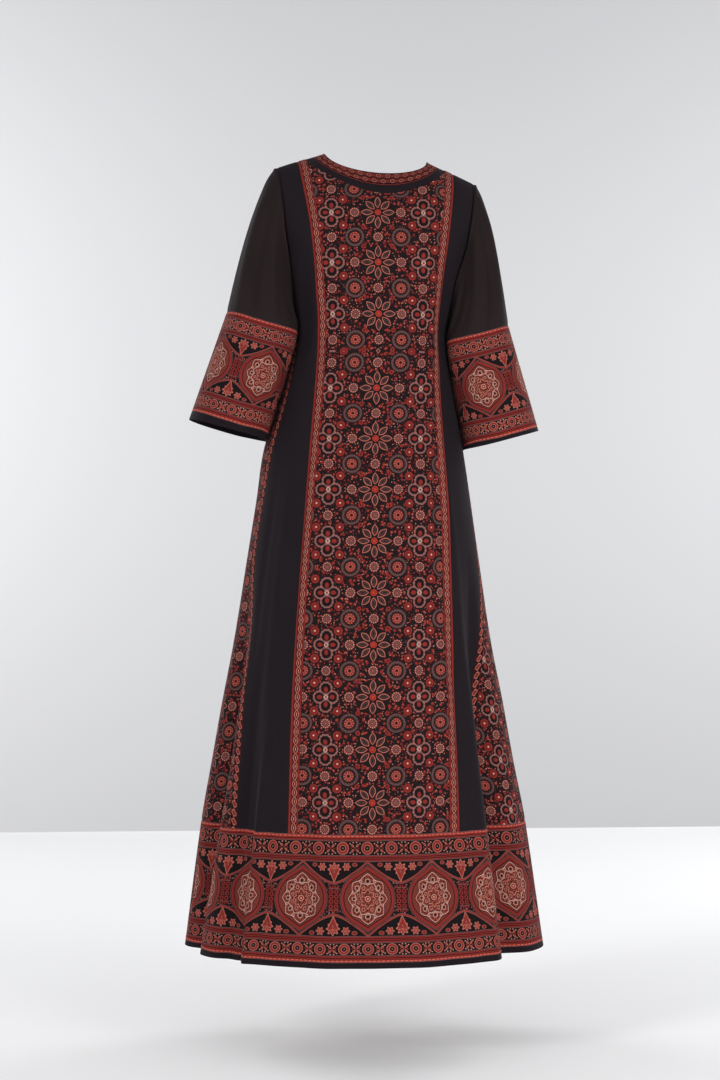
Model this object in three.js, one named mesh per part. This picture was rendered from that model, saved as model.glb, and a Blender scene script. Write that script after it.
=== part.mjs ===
// A long kaftan of printed and plain cloth, open at the neck, the hem and both cuffs.
// Millimetres, +Z up. The origin is midway between the two points where the shoulder
// seams meet the neck. The front faces -Y, and +X is the wearer's left.
// Angles round the body are in degrees from centre back, and grow towards the left.
import * as THREE from "three";

// Cloth and seams
const CLOTH = 2;
const SEAM_GAP = 0.3;
const SLANT = new THREE.Vector3(0.05, 0.1, 1);
const TRIM_WIDTH = 17;

// Heights
const HEM_Z = -1384;
const BORDER_TOP_Z = -1165;
const UNDERARM_Z = -300;
const ROUND_FROM_Z = -140;
const UPPER_LEVELS = [-180, -235, -270, UNDERARM_Z];
const LOWER_LEVELS = [-340, -400, -457, -514, -590, -670, -760, -850, -955, -1060, BORDER_TOP_Z];
const BORDER_LEVELS = [BORDER_TOP_Z, -1220, -1275, -1330, HEM_Z];

// Neck
const NECK_HALF = 90.5;
const NECK_RISE = 6.5;
const NECK_DROP = { back: 36, front: 75 };
const BAND_DROP = { back: 61, front: 99 };
const PRINTED_SHARE = 0.59;

// Cells along each piece
const ROUND_ROWS = 6;
const CENTRE_COLUMNS = 12;
const SIDE_COLUMNS = 6;
const GORE_COLUMNS = 14;
const SLEEVE_SHARES = [0, 0.08, 0.22, 0.4, 0.6, 0.8, 1];
const CUFF_SHARES = [0, 0.33, 0.67, 1];

// A table's rows as objects with named columns
function table(columns, rows) {
  return rows.map((row) => Object.fromEntries(columns.map((name, i) => [name, row[i]])));
}

// The body's outline at each height, an oval whose back and front differ in depth
const SECTIONS = table(
  ["z", "centre", "half", "back", "front", "power"],
  [
    [0, 0, 196, 66, 60, 2.6],
    [-60, 0, 188, 82, 76, 2.5],
    [-130, 0, 176, 99, 92, 2.4],
    [-200, 2, 157, 108, 103, 2.3],
    [-250, 5, 144, 109, 106, 2.3],
    [-320, 9, 134, 107, 101, 2.2],
    [-409, 14, 150, 113, 105, 2.2],
    [-514, 21, 175, 130, 118, 2.2],
    [-602, 21, 188, 143, 128, 2.2],
    [-708, 22, 203.5, 156, 140, 2.2],
    [-850, 23, 223, 176, 158, 2.1],
    [-955, 23, 241, 191, 171, 2.1],
    [-1060, 23, 258, 206, 184, 2.05],
    [-1165, 22, 277, 221, 197, 2],
    [-1384, 21, 308, 250, 222, 2],
  ],
);

// The shoulder line from the wearer's right shoulder to the left
const SHOULDER_LINE = table(
  ["x", "z"],
  [
    [-175, -46],
    [-NECK_HALF, -NECK_RISE],
    [NECK_HALF, NECK_RISE],
    [175, -20.5],
  ],
);

// Outer edges of the two trims, as x at each height
const TRIM_EDGES = table(
  ["z", "left", "right"],
  [
    [0, 139, -138],
    [-60, 130, -134],
    [-130, 119, -125],
    [-235, 109, -112],
    [-300, 105, -107.5],
    [-400, 111, -108],
    [-514, 122, -113],
    [-655, 134, -119.5],
    [-800, 144.5, -123],
    [-960, 153.5, -125.5],
    [-1165, 161.5, -127],
  ],
);

// Armhole edges, as x at each height
const ARMHOLE_EDGES = table(
  ["z", "left", "right"],
  [
    [0, 174, -174],
    [-20, 173, -174],
    [-46, 168.5, -173.5],
    [-90, 163.5, -168],
    [-130, 160, -161.5],
    [-165, 155, -155],
    [-200, 151, -143.5],
    [-235, 147.5, -134],
    [-270, 144, -129.5],
    [-300, 141, -127.5],
  ],
);

// Seams of the side gores, as the angle from centre back or from centre front
const GORE_SEAMS = table(
  ["z", "leftBack", "rightBack", "front"],
  [
    [-300, 79.5, 83, 79],
    [-380, 73, 82, 75],
    [-484, 70, 82, 72],
    [-620, 73, 80, 71],
    [-724, 73, 77, 70],
    [-831, 69, 69.5, 68],
    [-978, 65.5, 62.5, 65],
    [-1165, 62.2, 57, 61],
  ],
);

// Hanging folds. A fold moves the cloth by depth at its middle, and drifts from the angle
// where it starts to the angle at the hem.
const FOLDS = table(
  ["start", "hem", "width", "depth", "from", "full"],
  [
    [46, 49, 4.5, 5, -760, -1165],
    [57, 57, 5, -12, -700, -1165],
    [72, 82, 5.5, -28, -640, -1165],
    [92, 97, 8, 8, -640, -1165],
    [-50, -50, 5, 5, -700, -1165],
    [-63, -61, 6.5, -34, -640, -1165],
    [-84, -84, 9, 9, -640, -1165],
    [16, 19, 7, 4, -560, -1384],
    [-17, -20, 7, 4, -560, -1384],
    [118, 118, 7, -12, -560, -1250],
    [134, 136, 8, 8, -560, -1250],
    [156, 155, 8, -8, -600, -1250],
    [178, 178, 9, 6, -600, -1250],
    [-157, -158, 8, -9, -600, -1250],
    [-136, -137, 8, 8, -560, -1250],
    [-116, -117, 7, -13, -560, -1250],
  ],
);

// Rings of each sleeve: its middle, half width across the arm, half depth from back to front,
// and how far the outer end is tilted up in degrees. The sleeve leaves the armhole towards
// the ring named lead.
const SLEEVE_RINGS = {
  left: {
    lead: { x: 179.5, z: -177, half: 136, depth: 78, tilt: 76 },
    cuffTop: { x: 204, z: -293, half: 60.6, depth: 82, tilt: 18.7 },
    cuffEnd: { x: 261, z: -481, half: 69, depth: 90, tilt: 16.1 },
  },
  right: {
    lead: { x: -168.5, z: -194, half: 130, depth: 78, tilt: 74 },
    cuffTop: { x: -182.3, z: -312, half: 55.2, depth: 82, tilt: 16.8 },
    cuffEnd: { x: -223.4, z: -497.5, half: 67.1, depth: 90, tilt: 14.8 },
  },
};
const SLEEVE_POWER = 2.2;

// Looks
const BLACK = { color: 0x2b2528, roughness: 0.7 };
const PRINT = { color: 0x3a1f20, roughness: 0.72 };
const TRIM = { color: 0x6e2f2b, roughness: 0.72 };
const BORDER = { color: 0x6a2a27, roughness: 0.72 };
const SHEER = { color: 0x32282a, roughness: 0.65 };

const mix = (a, b, share) => a + (b - a) * share;
const clamp = (value, low, high) => Math.min(high, Math.max(low, value));
const radians = THREE.MathUtils.degToRad;
const degrees = THREE.MathUtils.radToDeg;
const signedPower = (value, power) => Math.sign(value) * Math.abs(value) ** power;

// A column of a table at a height, on a smooth curve through its rows, which run downwards
function read(rows, column, z) {
  const last = rows.length - 1;
  if (z >= rows[0].z) return rows[0][column];
  if (z <= rows[last].z) return rows[last][column];
  const i = rows.findIndex((row) => row.z < z);
  const slope = (j) => {
    const above = rows[Math.max(j - 1, 0)];
    const below = rows[Math.min(j + 1, last)];
    return (below[column] - above[column]) / (below.z - above.z);
  };
  const span = rows[i].z - rows[i - 1].z;
  const t = (z - rows[i - 1].z) / span;
  const rise = rows[i][column] - rows[i - 1][column];
  const bend = (slope(i - 1) * span - rise) * (1 - t) + (rise - slope(i) * span) * t;
  return rows[i - 1][column] + rise * t + bend * t * (1 - t);
}

function shoulderZ(x) {
  const last = SHOULDER_LINE.length - 1;
  const inside = clamp(x, SHOULDER_LINE[0].x, SHOULDER_LINE[last].x);
  const i = Math.max(1, SHOULDER_LINE.findIndex((row) => row.x >= inside));
  const [a, b] = [SHOULDER_LINE[i - 1], SHOULDER_LINE[i]];
  return mix(a.z, b.z, (inside - a.x) / (b.x - a.x));
}

// How far the folds move the cloth out at an angle and a height
function foldDepth(phi, z) {
  let depth = 0;
  for (const fold of FOLDS) {
    const share = clamp((fold.from - z) / (fold.from - fold.full), 0, 1);
    const ease = share * share * (3 - 2 * share);
    const drift = clamp((fold.from - z) / (fold.from - HEM_Z), 0, 1);
    const away = phi - mix(fold.start, fold.hem, drift);
    const turn = away - 360 * Math.round(away / 360);
    depth += fold.depth * ease * Math.exp(-((turn / fold.width) ** 2));
  }
  return depth;
}

// Distance from the section's middle to the cloth
function radius(phi, z) {
  const across = Math.sin(radians(phi));
  const along = Math.cos(radians(phi));
  const depth = read(SECTIONS, along > 0 ? "back" : "front", z);
  const power = read(SECTIONS, "power", z);
  const sum =
    Math.abs(across / read(SECTIONS, "half", z)) ** power + Math.abs(along / depth) ** power;
  return sum ** (-1 / power) + foldDepth(phi, z);
}

// How far back or forward the section reaches at x, before the shoulder rounds it
function depthAt(side, x, z) {
  const power = read(SECTIONS, "power", z);
  const share = Math.abs((x - read(SECTIONS, "centre", z)) / read(SECTIONS, "half", z));
  const depth = read(SECTIONS, side > 0 ? "back" : "front", z);
  return depth * (1 - Math.min(share, 0.999) ** power) ** (1 / power);
}

// The shoulder's rounding is squarer near the neck
function roundPower(x) {
  return 2 + 1.1 * (1 - clamp(x / 120, -1, 1) ** 2);
}

function roundShare(x, z) {
  return clamp((z - ROUND_FROM_Z) / (shoulderZ(x) - ROUND_FROM_Z), 0, 1);
}

// A point of the cloth. The angle is from centre back for side 1, from centre front for -1.
function clothPoint(side, angle, z) {
  const phi = side > 0 ? angle : 180 - angle;
  const reach = radius(phi, z);
  const x = read(SECTIONS, "centre", z) + reach * Math.sin(radians(angle));
  const power = roundPower(x);
  const rounding = (1 - roundShare(x, z) ** power) ** (1 / power);
  return new THREE.Vector3(x, side * reach * Math.cos(radians(angle)) * rounding, z);
}

// Two measures that equal 1 on the cloth and grow outside it: one where the shoulder rounds
// the cloth, and one below
function roundedLevel(x, y, z) {
  const power = roundPower(x);
  const depth = depthAt(Math.sign(y) || 1, x, z);
  const rise = (z - ROUND_FROM_Z) / (shoulderZ(x) - ROUND_FROM_Z);
  return Math.abs(y / depth) ** power + Math.max(0, rise) ** power;
}

function lowerLevel(x, y, z) {
  const across = x - read(SECTIONS, "centre", z);
  return Math.hypot(across, y) / radius(degrees(Math.atan2(across, y)), z);
}

function clothNormal({ x, y, z }) {
  const step = 0.05;
  const level = z > ROUND_FROM_Z + step ? roundedLevel : lowerLevel;
  return new THREE.Vector3(
    level(x + step, y, z) - level(x - step, y, z),
    level(x, y + step, z) - level(x, y - step, z),
    level(x, y, z + step) - level(x, y, z - step),
  ).normalize();
}

function clothSpot(side, angle, z) {
  const point = clothPoint(side, angle, z);
  return { point, normal: clothNormal(point) };
}

function angleAt(side, x, z) {
  return degrees(Math.atan2(x - read(SECTIONS, "centre", z), depthAt(side, x, z)));
}

// Seams, each as the angle at a height
const trimOuter = (side, hand) => (z) => angleAt(side, read(TRIM_EDGES, hand, z), z);

function trimInner(side, hand) {
  const outer = trimOuter(side, hand);
  const inward = hand === "left" ? -1 : 1;
  return (z) => {
    const x = read(TRIM_EDGES, hand, z);
    const slope = depthAt(side, x + 1, z) - depthAt(side, x - 1, z);
    return angleAt(side, x + (inward * TRIM_WIDTH) / Math.hypot(1, slope / 2), z);
  };
}

function goreSeam(side, hand) {
  const column = side < 0 ? "front" : hand + "Back";
  const sign = hand === "left" ? 1 : -1;
  return (z) => sign * read(GORE_SEAMS, column, z);
}

function sideSeam(side, hand) {
  const gore = goreSeam(side, hand);
  return (z) => (z > UNDERARM_Z ? angleAt(side, read(ARMHOLE_EDGES, hand, z), z) : gore(z));
}

// The height where a line down the cloth meets the shoulder
function shoulderTop(side, angleOf) {
  let z = -10;
  for (let i = 0; i < 12; i += 1) {
    const across = radius(side > 0 ? angleOf(z) : 180 - angleOf(z), z);
    z = shoulderZ(read(SECTIONS, "centre", z) + across * Math.sin(radians(angleOf(z))));
  }
  return z;
}

// Heights down a line of cloth: close together where the shoulder rounds, then the levels
function heightsBelow(side, angleOf, top) {
  const x = clothPoint(side, angleOf(top), top).x;
  const power = roundPower(x);
  const topShare = roundShare(x, top);
  const topTurn = Math.asin(topShare ** (power / 2));
  const rounded = [];
  for (let i = 0; i <= ROUND_ROWS; i += 1) {
    const share = Math.sin(topTurn * (1 - i / ROUND_ROWS)) ** (2 / power);
    rounded.push(ROUND_FROM_Z + ((top - ROUND_FROM_Z) * share) / topShare);
  }
  return [...rounded, ...UPPER_LEVELS];
}

// A line of cloth from the shoulder or the neck down to the border
function clothLine(side, angleOf, top) {
  const heights = [...heightsBelow(side, angleOf, top), ...LOWER_LEVELS];
  return heights.map((z) => clothSpot(side, angleOf(z), z));
}

// Shares across the centre panel, closer together towards its sides
function centreShares() {
  return Array.from({ length: CENTRE_COLUMNS + 1 }, (_, i) => {
    const even = i / CENTRE_COLUMNS;
    return 0.5 * even + 0.25 * (1 - Math.cos(Math.PI * even));
  });
}

const evenShares = (count) => Array.from({ length: count + 1 }, (_, i) => i / count);

// The curve where the plain neck band ends and the centre panel begins
function bandEdgeZ(side, share) {
  const leftTop = shoulderTop(side, trimInner(side, "left"));
  const rightTop = shoulderTop(side, trimInner(side, "right"));
  const drop = BAND_DROP[side > 0 ? "back" : "front"];
  return mix(leftTop, rightTop, share) - drop * Math.sqrt(1 - (1 - 2 * share) ** 2);
}

function neckEdge(side, share) {
  const across = 1 - 2 * share;
  const drop = NECK_DROP[side > 0 ? "back" : "front"];
  return {
    x: NECK_HALF * across,
    z: NECK_RISE * across - drop * Math.sqrt(1 - across ** 2),
  };
}

// A closed wall between a grid of outer points and the same grid set in by the cloth.
// Each line of the grid is a list of spots; a closed grid joins its last line to its first.
function clothWall(lines, closed = false) {
  const rows = lines[0].length;
  const count = lines.length;
  const outer = lines.flat().map((spot) => spot.point);
  const inner = lines.flat().map((spot) => spot.point.clone().addScaledVector(spot.normal, -CLOTH));
  const at = (line, row) => (line % count) * rows + row;
  const back = outer.length;
  const index = [];
  const quad = (a, b, c, d) => index.push(a, b, c, a, c, d);
  // An edge face from outer point a to b, split from the outer point that lies higher, so that
  // the faces of two pieces that meet at a seam are split alike
  const edgeFace = (a, b) => {
    if (outer[a].dot(SLANT) > outer[b].dot(SLANT)) quad(a, b, back + b, back + a);
    else quad(b, back + b, back + a, a);
  };
  const steps = closed ? count : count - 1;
  for (let line = 0; line < steps; line += 1) {
    for (let row = 0; row < rows - 1; row += 1) {
      const [a, b] = [at(line, row), at(line + 1, row)];
      quad(a, b, b + 1, a + 1);
      quad(back + a + 1, back + b + 1, back + b, back + a);
    }
    edgeFace(at(line + 1, 0), at(line, 0));
    edgeFace(at(line, rows - 1), at(line + 1, rows - 1));
  }
  for (let row = 0; row < rows - 1 && !closed; row += 1) {
    edgeFace(at(0, row), at(0, row + 1));
    edgeFace(at(count - 1, row + 1), at(count - 1, row));
  }
  const geometry = new THREE.BufferGeometry();
  geometry.setFromPoints([...outer, ...inner]);
  geometry.setIndex(facingOut(index, [...outer, ...inner]));
  geometry.computeVertexNormals();
  return geometry;
}

// The same triangles, turned over if they enclose a negative volume
function facingOut(index, points) {
  let volume = 0;
  for (let i = 0; i < index.length; i += 3) {
    const [a, b, c] = [points[index[i]], points[index[i + 1]], points[index[i + 2]]];
    volume += a.dot(b.clone().cross(c));
  }
  return volume > 0 ? index : index.reverse();
}

// The direction across the cloth, square to one of the grid's edges and into the piece
function inward(lines, line, row, stepLine, stepRow) {
  const near = (share) => {
    const next = clamp(line + (stepLine ? 0 : share), 0, lines.length - 1);
    return lines[next][clamp(row + (stepRow ? 0 : share), 0, lines[0].length - 1)].point;
  };
  const spot = lines[line][row];
  const inside = lines[line + stepLine][row + stepRow].point.clone().sub(spot.point);
  const across = spot.normal.clone().cross(near(1).clone().sub(near(-1))).normalize();
  return across.dot(inside) > 0 ? across : across.negate();
}

// The grid with its four edges drawn in by half a seam gap
function drawnIn(lines) {
  const [last, foot] = [lines.length - 1, lines[0].length - 1];
  const edgeStep = (at, end) => (at === 0 ? 1 : at === end ? -1 : 0);
  return lines.map((spots, line) =>
    spots.map(({ point, normal }, row) => {
      const [stepLine, stepRow] = [edgeStep(line, last), edgeStep(row, foot)];
      const ways = [];
      if (stepLine) ways.push(inward(lines, line, row, stepLine, 0));
      if (stepRow) ways.push(inward(lines, line, row, 0, stepRow));
      if (!ways.length) return { point, normal };
      const corner = ways.length > 1 ? 1 + ways[0].dot(ways[1]) : 1;
      const step = ways.reduce((sum, way) => sum.add(way), new THREE.Vector3());
      return { point: point.clone().addScaledVector(step, SEAM_GAP / 2 / corner), normal };
    }),
  );
}

function clothMesh(name, lines, look, closed = false) {
  const material = new THREE.MeshStandardMaterial({ ...look, metalness: 0, name });
  const mesh = new THREE.Mesh(clothWall(closed ? lines : drawnIn(lines), closed), material);
  mesh.name = name;
  return mesh;
}

// A panel between two seams, whose lines reach the shoulder or a given top
function panelLines(side, fromSeam, toSeam, shares, topOf) {
  return shares.map((share) => {
    const angleOf = (z) => mix(fromSeam(z), toSeam(z), share);
    const top = topOf ? topOf(share) : shoulderTop(side, angleOf);
    return clothLine(side, angleOf, top);
  });
}

function centrePanel(side) {
  const [left, right] = [trimInner(side, "left"), trimInner(side, "right")];
  return panelLines(side, left, right, centreShares(), (share) => bandEdgeZ(side, share));
}

function trimStrip(side, hand) {
  return panelLines(side, trimInner(side, hand), trimOuter(side, hand), [0, 1]);
}

// The neck's bands, as lines from the neck edge out to the centre panel between two shares
function neckLines(side, from, to, rows) {
  const [left, right] = [trimInner(side, "left"), trimInner(side, "right")];
  return centreShares().map((share) => {
    const inner = neckEdge(side, share);
    const z = bandEdgeZ(side, share);
    const outer = clothPoint(side, mix(left(z), right(z), share), z);
    return evenShares(rows).map((step) => {
      const reach = mix(from, to, step);
      const spot = { x: mix(inner.x, outer.x, reach), z: mix(inner.z, z, reach) };
      return clothSpot(side, angleAt(side, spot.x, spot.z), spot.z);
    });
  });
}

// The gore under each arm, from its back seam round to its front seam
function goreAngle(hand, share) {
  const sign = hand === "left" ? 1 : -1;
  const [back, front] = [goreSeam(1, hand), goreSeam(-1, hand)];
  return (z) => mix(back(z), sign * 180 - front(z), share);
}

function gorePanel(hand) {
  return evenShares(GORE_COLUMNS).map((share) => {
    const angleOf = goreAngle(hand, share);
    return [UNDERARM_Z, ...LOWER_LEVELS].map((z) => clothSpot(1, angleOf(z), z));
  });
}

// The hem border's lines continue the lines of the pieces above it
function hemBorder(side) {
  const seam = (angleOf) => angleOf(BORDER_TOP_Z);
  const half = (hand, sign) => {
    const gore = evenShares(GORE_COLUMNS).map((share) => seam(goreAngle(hand, share)));
    const seen = gore.map((angle) => (side > 0 ? angle : sign * 180 - angle));
    const [outer, edge] = [seam(trimOuter(side, hand)), seam(goreSeam(side, hand))];
    const panel = evenShares(SIDE_COLUMNS).map((share) => mix(edge, outer, share));
    const under = seen.filter((angle) => Math.abs(angle) < 89 && angle * sign > edge * sign + 0.1);
    return [sign * 90, ...under, ...panel].sort((a, b) => sign * (b - a));
  };
  const [left, right] = [seam(trimInner(side, "left")), seam(trimInner(side, "right"))];
  const middle = centreShares().map((share) => mix(left, right, share));
  const angles = [...half("left", 1), ...middle, ...half("right", -1).reverse()];
  return angles.map((angle) => BORDER_LEVELS.map((z) => clothSpot(side, angle, z)));
}

// A point of a sleeve ring at a turn from its outer end, positive towards the back
function ringPoint(ring, hand, turn) {
  const sign = hand === "left" ? 1 : -1;
  const tilt = radians(ring.tilt);
  const across = ring.half * signedPower(Math.cos(turn), 2 / SLEEVE_POWER);
  const along = ring.depth * signedPower(Math.sin(turn), 2 / SLEEVE_POWER);
  return new THREE.Vector3(
    ring.x + sign * across * Math.cos(tilt),
    along,
    ring.z + across * Math.sin(tilt),
  );
}

// The armhole's edge from the shoulder down the back, under the arm and up the front
function armholeSpots(hand) {
  const edge = (side) => {
    const angleOf = sideSeam(side, hand);
    const heights = heightsBelow(side, angleOf, shoulderTop(side, angleOf));
    return heights.map((z) => clothSpot(side, angleOf(z), z));
  };
  const under = evenShares(GORE_COLUMNS)
    .slice(1, -1)
    .map((share) => clothSpot(1, goreAngle(hand, share)(UNDERARM_Z), UNDERARM_Z));
  return [...edge(1), ...under, ...edge(-1).reverse().slice(0, -1)];
}

// How far round each spot lies, as a turn from the shoulder to the middle of the underarm
function armholeTurns(spots) {
  const count = spots.length;
  const lengths = spots.map((spot, i) => spot.point.distanceTo(spots[(i + 1) % count].point));
  const middle = spots.findIndex((spot) => spot.point.y < 0);
  const backLength = lengths.slice(0, middle).reduce((sum, step) => sum + step, 0);
  const frontLength = lengths.slice(middle).reduce((sum, step) => sum + step, 0);
  let walked = 0;
  return spots.map((_, i) => {
    const turn =
      i <= middle
        ? (Math.PI * walked) / backLength
        : Math.PI + (Math.PI * (walked - backLength)) / frontLength;
    walked += lengths[i];
    return turn;
  });
}

// Directions out of the cloth over a closed grid, from its neighbouring points
function gridNormal(grid, line, row, hand) {
  const count = grid.length;
  const last = grid[line].length - 1;
  const round = grid[(line + 1) % count][row]
    .clone()
    .sub(grid[(line + count - 1) % count][row]);
  const down = grid[line][Math.min(row + 1, last)].clone().sub(grid[line][Math.max(row - 1, 0)]);
  const sign = hand === "left" ? 1 : -1;
  return round.cross(down).multiplyScalar(-sign).normalize();
}

// The same over a sleeve, evened out across the armhole's corners
function sleeveNormal(grid, line, row, hand) {
  const count = grid.length;
  const normal = new THREE.Vector3();
  for (const near of [line + count - 1, line, line + 1]) {
    normal.add(gridNormal(grid, near % count, row, hand));
  }
  return normal.normalize();
}

// Where the sleeve stands out of the armhole it starts just clear of the body's cloth, and
// where it falls below it both edges are cut to the direction between the two.
function armholeJoint(spot, before, after, sleevePoint, outOfSleeve, hand) {
  const sign = hand === "left" ? 1 : -1;
  const along = after.point.clone().sub(before.point).normalize();
  const away = spot.normal.clone().cross(along).multiplyScalar(-sign).normalize();
  const leave = sleevePoint.clone().sub(spot.point);
  leave.addScaledVector(along, -leave.dot(along)).normalize();
  const falls = leave.dot(spot.normal) < 0;
  const clear = away
    .clone()
    .multiplyScalar(Math.max(0, leave.dot(away)))
    .addScaledVector(spot.normal, Math.max(0, leave.dot(spot.normal)))
    .setLength(falls ? SEAM_GAP : 3 * SEAM_GAP);
  const shared = spot.normal.clone().add(outOfSleeve).normalize();
  return {
    start: spot.point.clone().add(clear),
    bodyNormal: falls ? shared : spot.normal,
    sleeveNormal: falls ? shared : outOfSleeve,
  };
}

function makeSleeve(hand) {
  const rings = SLEEVE_RINGS[hand];
  const spots = armholeSpots(hand);
  const turns = armholeTurns(spots);
  const count = spots.length;
  const grid = spots.map((spot, i) => {
    const lead = ringPoint(rings.lead, hand, turns[i]);
    const end = ringPoint(rings.cuffTop, hand, turns[i]);
    const curve = new THREE.QuadraticBezierCurve3(spot.point, lead, end);
    return SLEEVE_SHARES.map((share) => curve.getPoint(share));
  });
  const cuffGrid = turns.map((turn) => {
    const top = ringPoint(rings.cuffTop, hand, turn);
    const end = ringPoint(rings.cuffEnd, hand, turn);
    return CUFF_SHARES.map((share) => top.clone().lerp(end, share));
  });
  const joints = spots.map((spot, i) => {
    const [before, after] = [spots[(i + count - 1) % count], spots[(i + 1) % count]];
    return armholeJoint(spot, before, after, grid[i][1], sleeveNormal(grid, i, 1, hand), hand);
  });
  const cuff = cuffGrid.map((line, i) =>
    line.map((point, row) => ({ point, normal: gridNormal(cuffGrid, i, row, hand) })),
  );
  const sleeve = grid.map((line, i) => {
    const spotsDown = line.map((point, row) => {
      return { point, normal: sleeveNormal(grid, i, row, hand) };
    });
    spotsDown[0] = { point: joints[i].start, normal: joints[i].sleeveNormal };
    spotsDown[line.length - 1].normal = cuff[i][0].normal;
    return spotsDown;
  });
  openSeam(sleeve, cuff);
  return { sleeve, cuff, joints };
}

// Parts the foot of one tube from the head of the next by the seam gap
function openSeam(upper, lower) {
  upper.forEach((line, i) => {
    const foot = line[line.length - 1];
    const step = foot.point.clone().sub(line[line.length - 2].point).setLength(SEAM_GAP / 2);
    const head = lower[i][0];
    line[line.length - 1] = { point: foot.point.clone().sub(step), normal: foot.normal };
    lower[i][0] = { point: head.point.clone().add(step), normal: head.normal };
  });
}

// A side panel, whose armhole edge takes the direction that it shares with the sleeve
function sidePanel(side, hand, joints) {
  const shares = evenShares(SIDE_COLUMNS);
  const lines = panelLines(side, trimOuter(side, hand), sideSeam(side, hand), shares);
  const upperRows = ROUND_ROWS + 1 + UPPER_LEVELS.length;
  const edge = lines[lines.length - 1];
  for (let row = 0; row < upperRows; row += 1) {
    const joint = side > 0 ? joints[row] : joints[(joints.length - row) % joints.length];
    edge[row].normal = joint.bodyNormal;
  }
  return lines;
}

const kaftan = new THREE.Group();
const armpieces = { left: makeSleeve("left"), right: makeSleeve("right") };

for (const [place, side] of Object.entries({ back: 1, front: -1 })) {
  kaftan.add(
    clothMesh(`${place}_centre_panel`, centrePanel(side), PRINT),
    clothMesh(`neck_band_${place}`, neckLines(side, 0, PRINTED_SHARE, 2), TRIM),
    clothMesh(`neck_plain_band_${place}`, neckLines(side, PRINTED_SHARE, 1, 1), BLACK),
    clothMesh(`hem_border_${place}`, hemBorder(side), BORDER),
  );
  for (const hand of ["left", "right"]) {
    const joints = armpieces[hand].joints;
    kaftan.add(
      clothMesh(`${place}_trim_${hand}`, trimStrip(side, hand), TRIM),
      clothMesh(`${place}_side_${hand}`, sidePanel(side, hand, joints), BLACK),
    );
  }
}

for (const hand of ["left", "right"]) {
  kaftan.add(
    clothMesh(`gore_${hand}`, gorePanel(hand), PRINT),
    clothMesh(`sleeve_${hand}`, armpieces[hand].sleeve, SHEER, true),
    clothMesh(`cuff_${hand}`, armpieces[hand].cuff, BORDER, true),
  );
}

export default kaftan;
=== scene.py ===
"""A long kaftan of block-printed and plain cloth, hanging in the form that it has when worn.

Every piece of cloth is a thin closed shell on the form of its solid, with its own folds.
Lengths in the tables are millimetres; meshes are in metres, in the frame's axes:
+Z up, the front faces -Y, and +X is the wearer's left. The photograph shows the back.
"""

import math

import bpy
import numpy as np
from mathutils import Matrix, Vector


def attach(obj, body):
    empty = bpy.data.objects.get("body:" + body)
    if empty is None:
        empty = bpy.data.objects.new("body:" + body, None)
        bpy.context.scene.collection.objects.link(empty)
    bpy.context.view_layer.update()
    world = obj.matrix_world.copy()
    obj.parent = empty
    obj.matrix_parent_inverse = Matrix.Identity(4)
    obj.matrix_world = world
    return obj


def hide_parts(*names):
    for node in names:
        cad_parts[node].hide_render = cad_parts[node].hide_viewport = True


MM = 0.001

HANDS = {"left": 1, "right": -1}
PLACES = {"back": 1, "front": -1}
ALL_SEAMS = ("start", "end", "top", "foot")

# Cloth and seams: SEAM_LINES says how far from a seam two lines of the grid follow it, as shares
# of its reach
CLOTH = 1.0
SHARP_ANGLE = 50
SEAM_DIP = 0.8
SEAM_REACH = 2.1
SEAM_LINES = np.array([0.6, 1.6])
TRIM_WIDTH = 17.0

# Heights, and how far apart the grids' rows are
HEM_Z = -1384.0
BORDER_TOP_Z = -1165.0
UNDERARM_Z = -300.0
ROW_STEP = 5.0

# The shoulder's rounding: the height where it starts, its rows, and how much squarer it is
# towards the neck, and from how far out
ROUND_FROM_Z = -140.0
ROUND_ROWS = 20
NECK_SQUARING = 1.1
NECK_REACH = 120

# Neck
NECK_HALF = 90.5
NECK_RISE = 6.5
NECK_DROP = {1: 36.0, -1: 75.0}
BAND_DROP = {1: 61.0, -1: 99.0}
PRINTED_SHARE = 0.59
NECK_BAND_WIDTH = 20.0

# Rough widths of the pieces, for the lines that follow their seams
CENTRE_WIDTH = 240
SIDE_WIDTH = 80
GORE_WIDTH = 200
UNDERARM_WIDTH = 30

# Columns and rows of each piece's grid
CENTRE_COLUMNS = 64
SIDE_COLUMNS = 26
GORE_COLUMNS = 60
TRIM_COLUMNS = 5
SLEEVE_ROWS = 56
CUFF_ROWS = 44
NECK_BAND_ROWS = 6
PLAIN_BAND_ROWS = 5

# Sleeves: the squareness of their rings, and the low ridge at the head, with its place and width
# as shares of the length
SLEEVE_POWER = 2.2
HEAD_RISE = 1.8
HEAD_SHARE = 0.05
HEAD_WIDTH = 0.035
# The inner side is drawn in by up to SLEEVE_PULL in so many tries, from INNER_TURN degrees off
# the shoulder and fully so INNER_SPREAD further on, but keeps SLEEVE_CLEAR from the body
SLEEVE_PULL = 16.0
PULL_TRIES = 12
INNER_TURN = 95
INNER_SPREAD = 45
SLEEVE_CLEAR = 1.7
# How much the creases and the pull grow less down a cuff
CREASE_FADE = 0.55
PULL_FADE = 0.6

# Stitches: the pitch, length and width of each kind, and the rings of one stitch as a share of
# its half length and of its thickness
LONG_STITCH = (7.7, 4.8, 1.1)
FINE_STITCH = (3.4, 2.4, 0.6)
STITCH_SIDES = 6
STITCH_RINGS = ((-1.0, 0.3), (-0.75, 0.9), (0.0, 1.0), (0.75, 0.9), (1.0, 0.3))

# The flat map for baking: the left side and width of the wall's outside and of its inside, the
# two sides of the strip with its edges, and margins
BAKE_OUTSIDE = (0.01, 0.77)
BAKE_INSIDE = (0.8, 0.15)
BAKE_STRIP = (0.965, 0.985)
BAKE_MARGIN = 0.01
BAKE_GAP = 0.1


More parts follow.
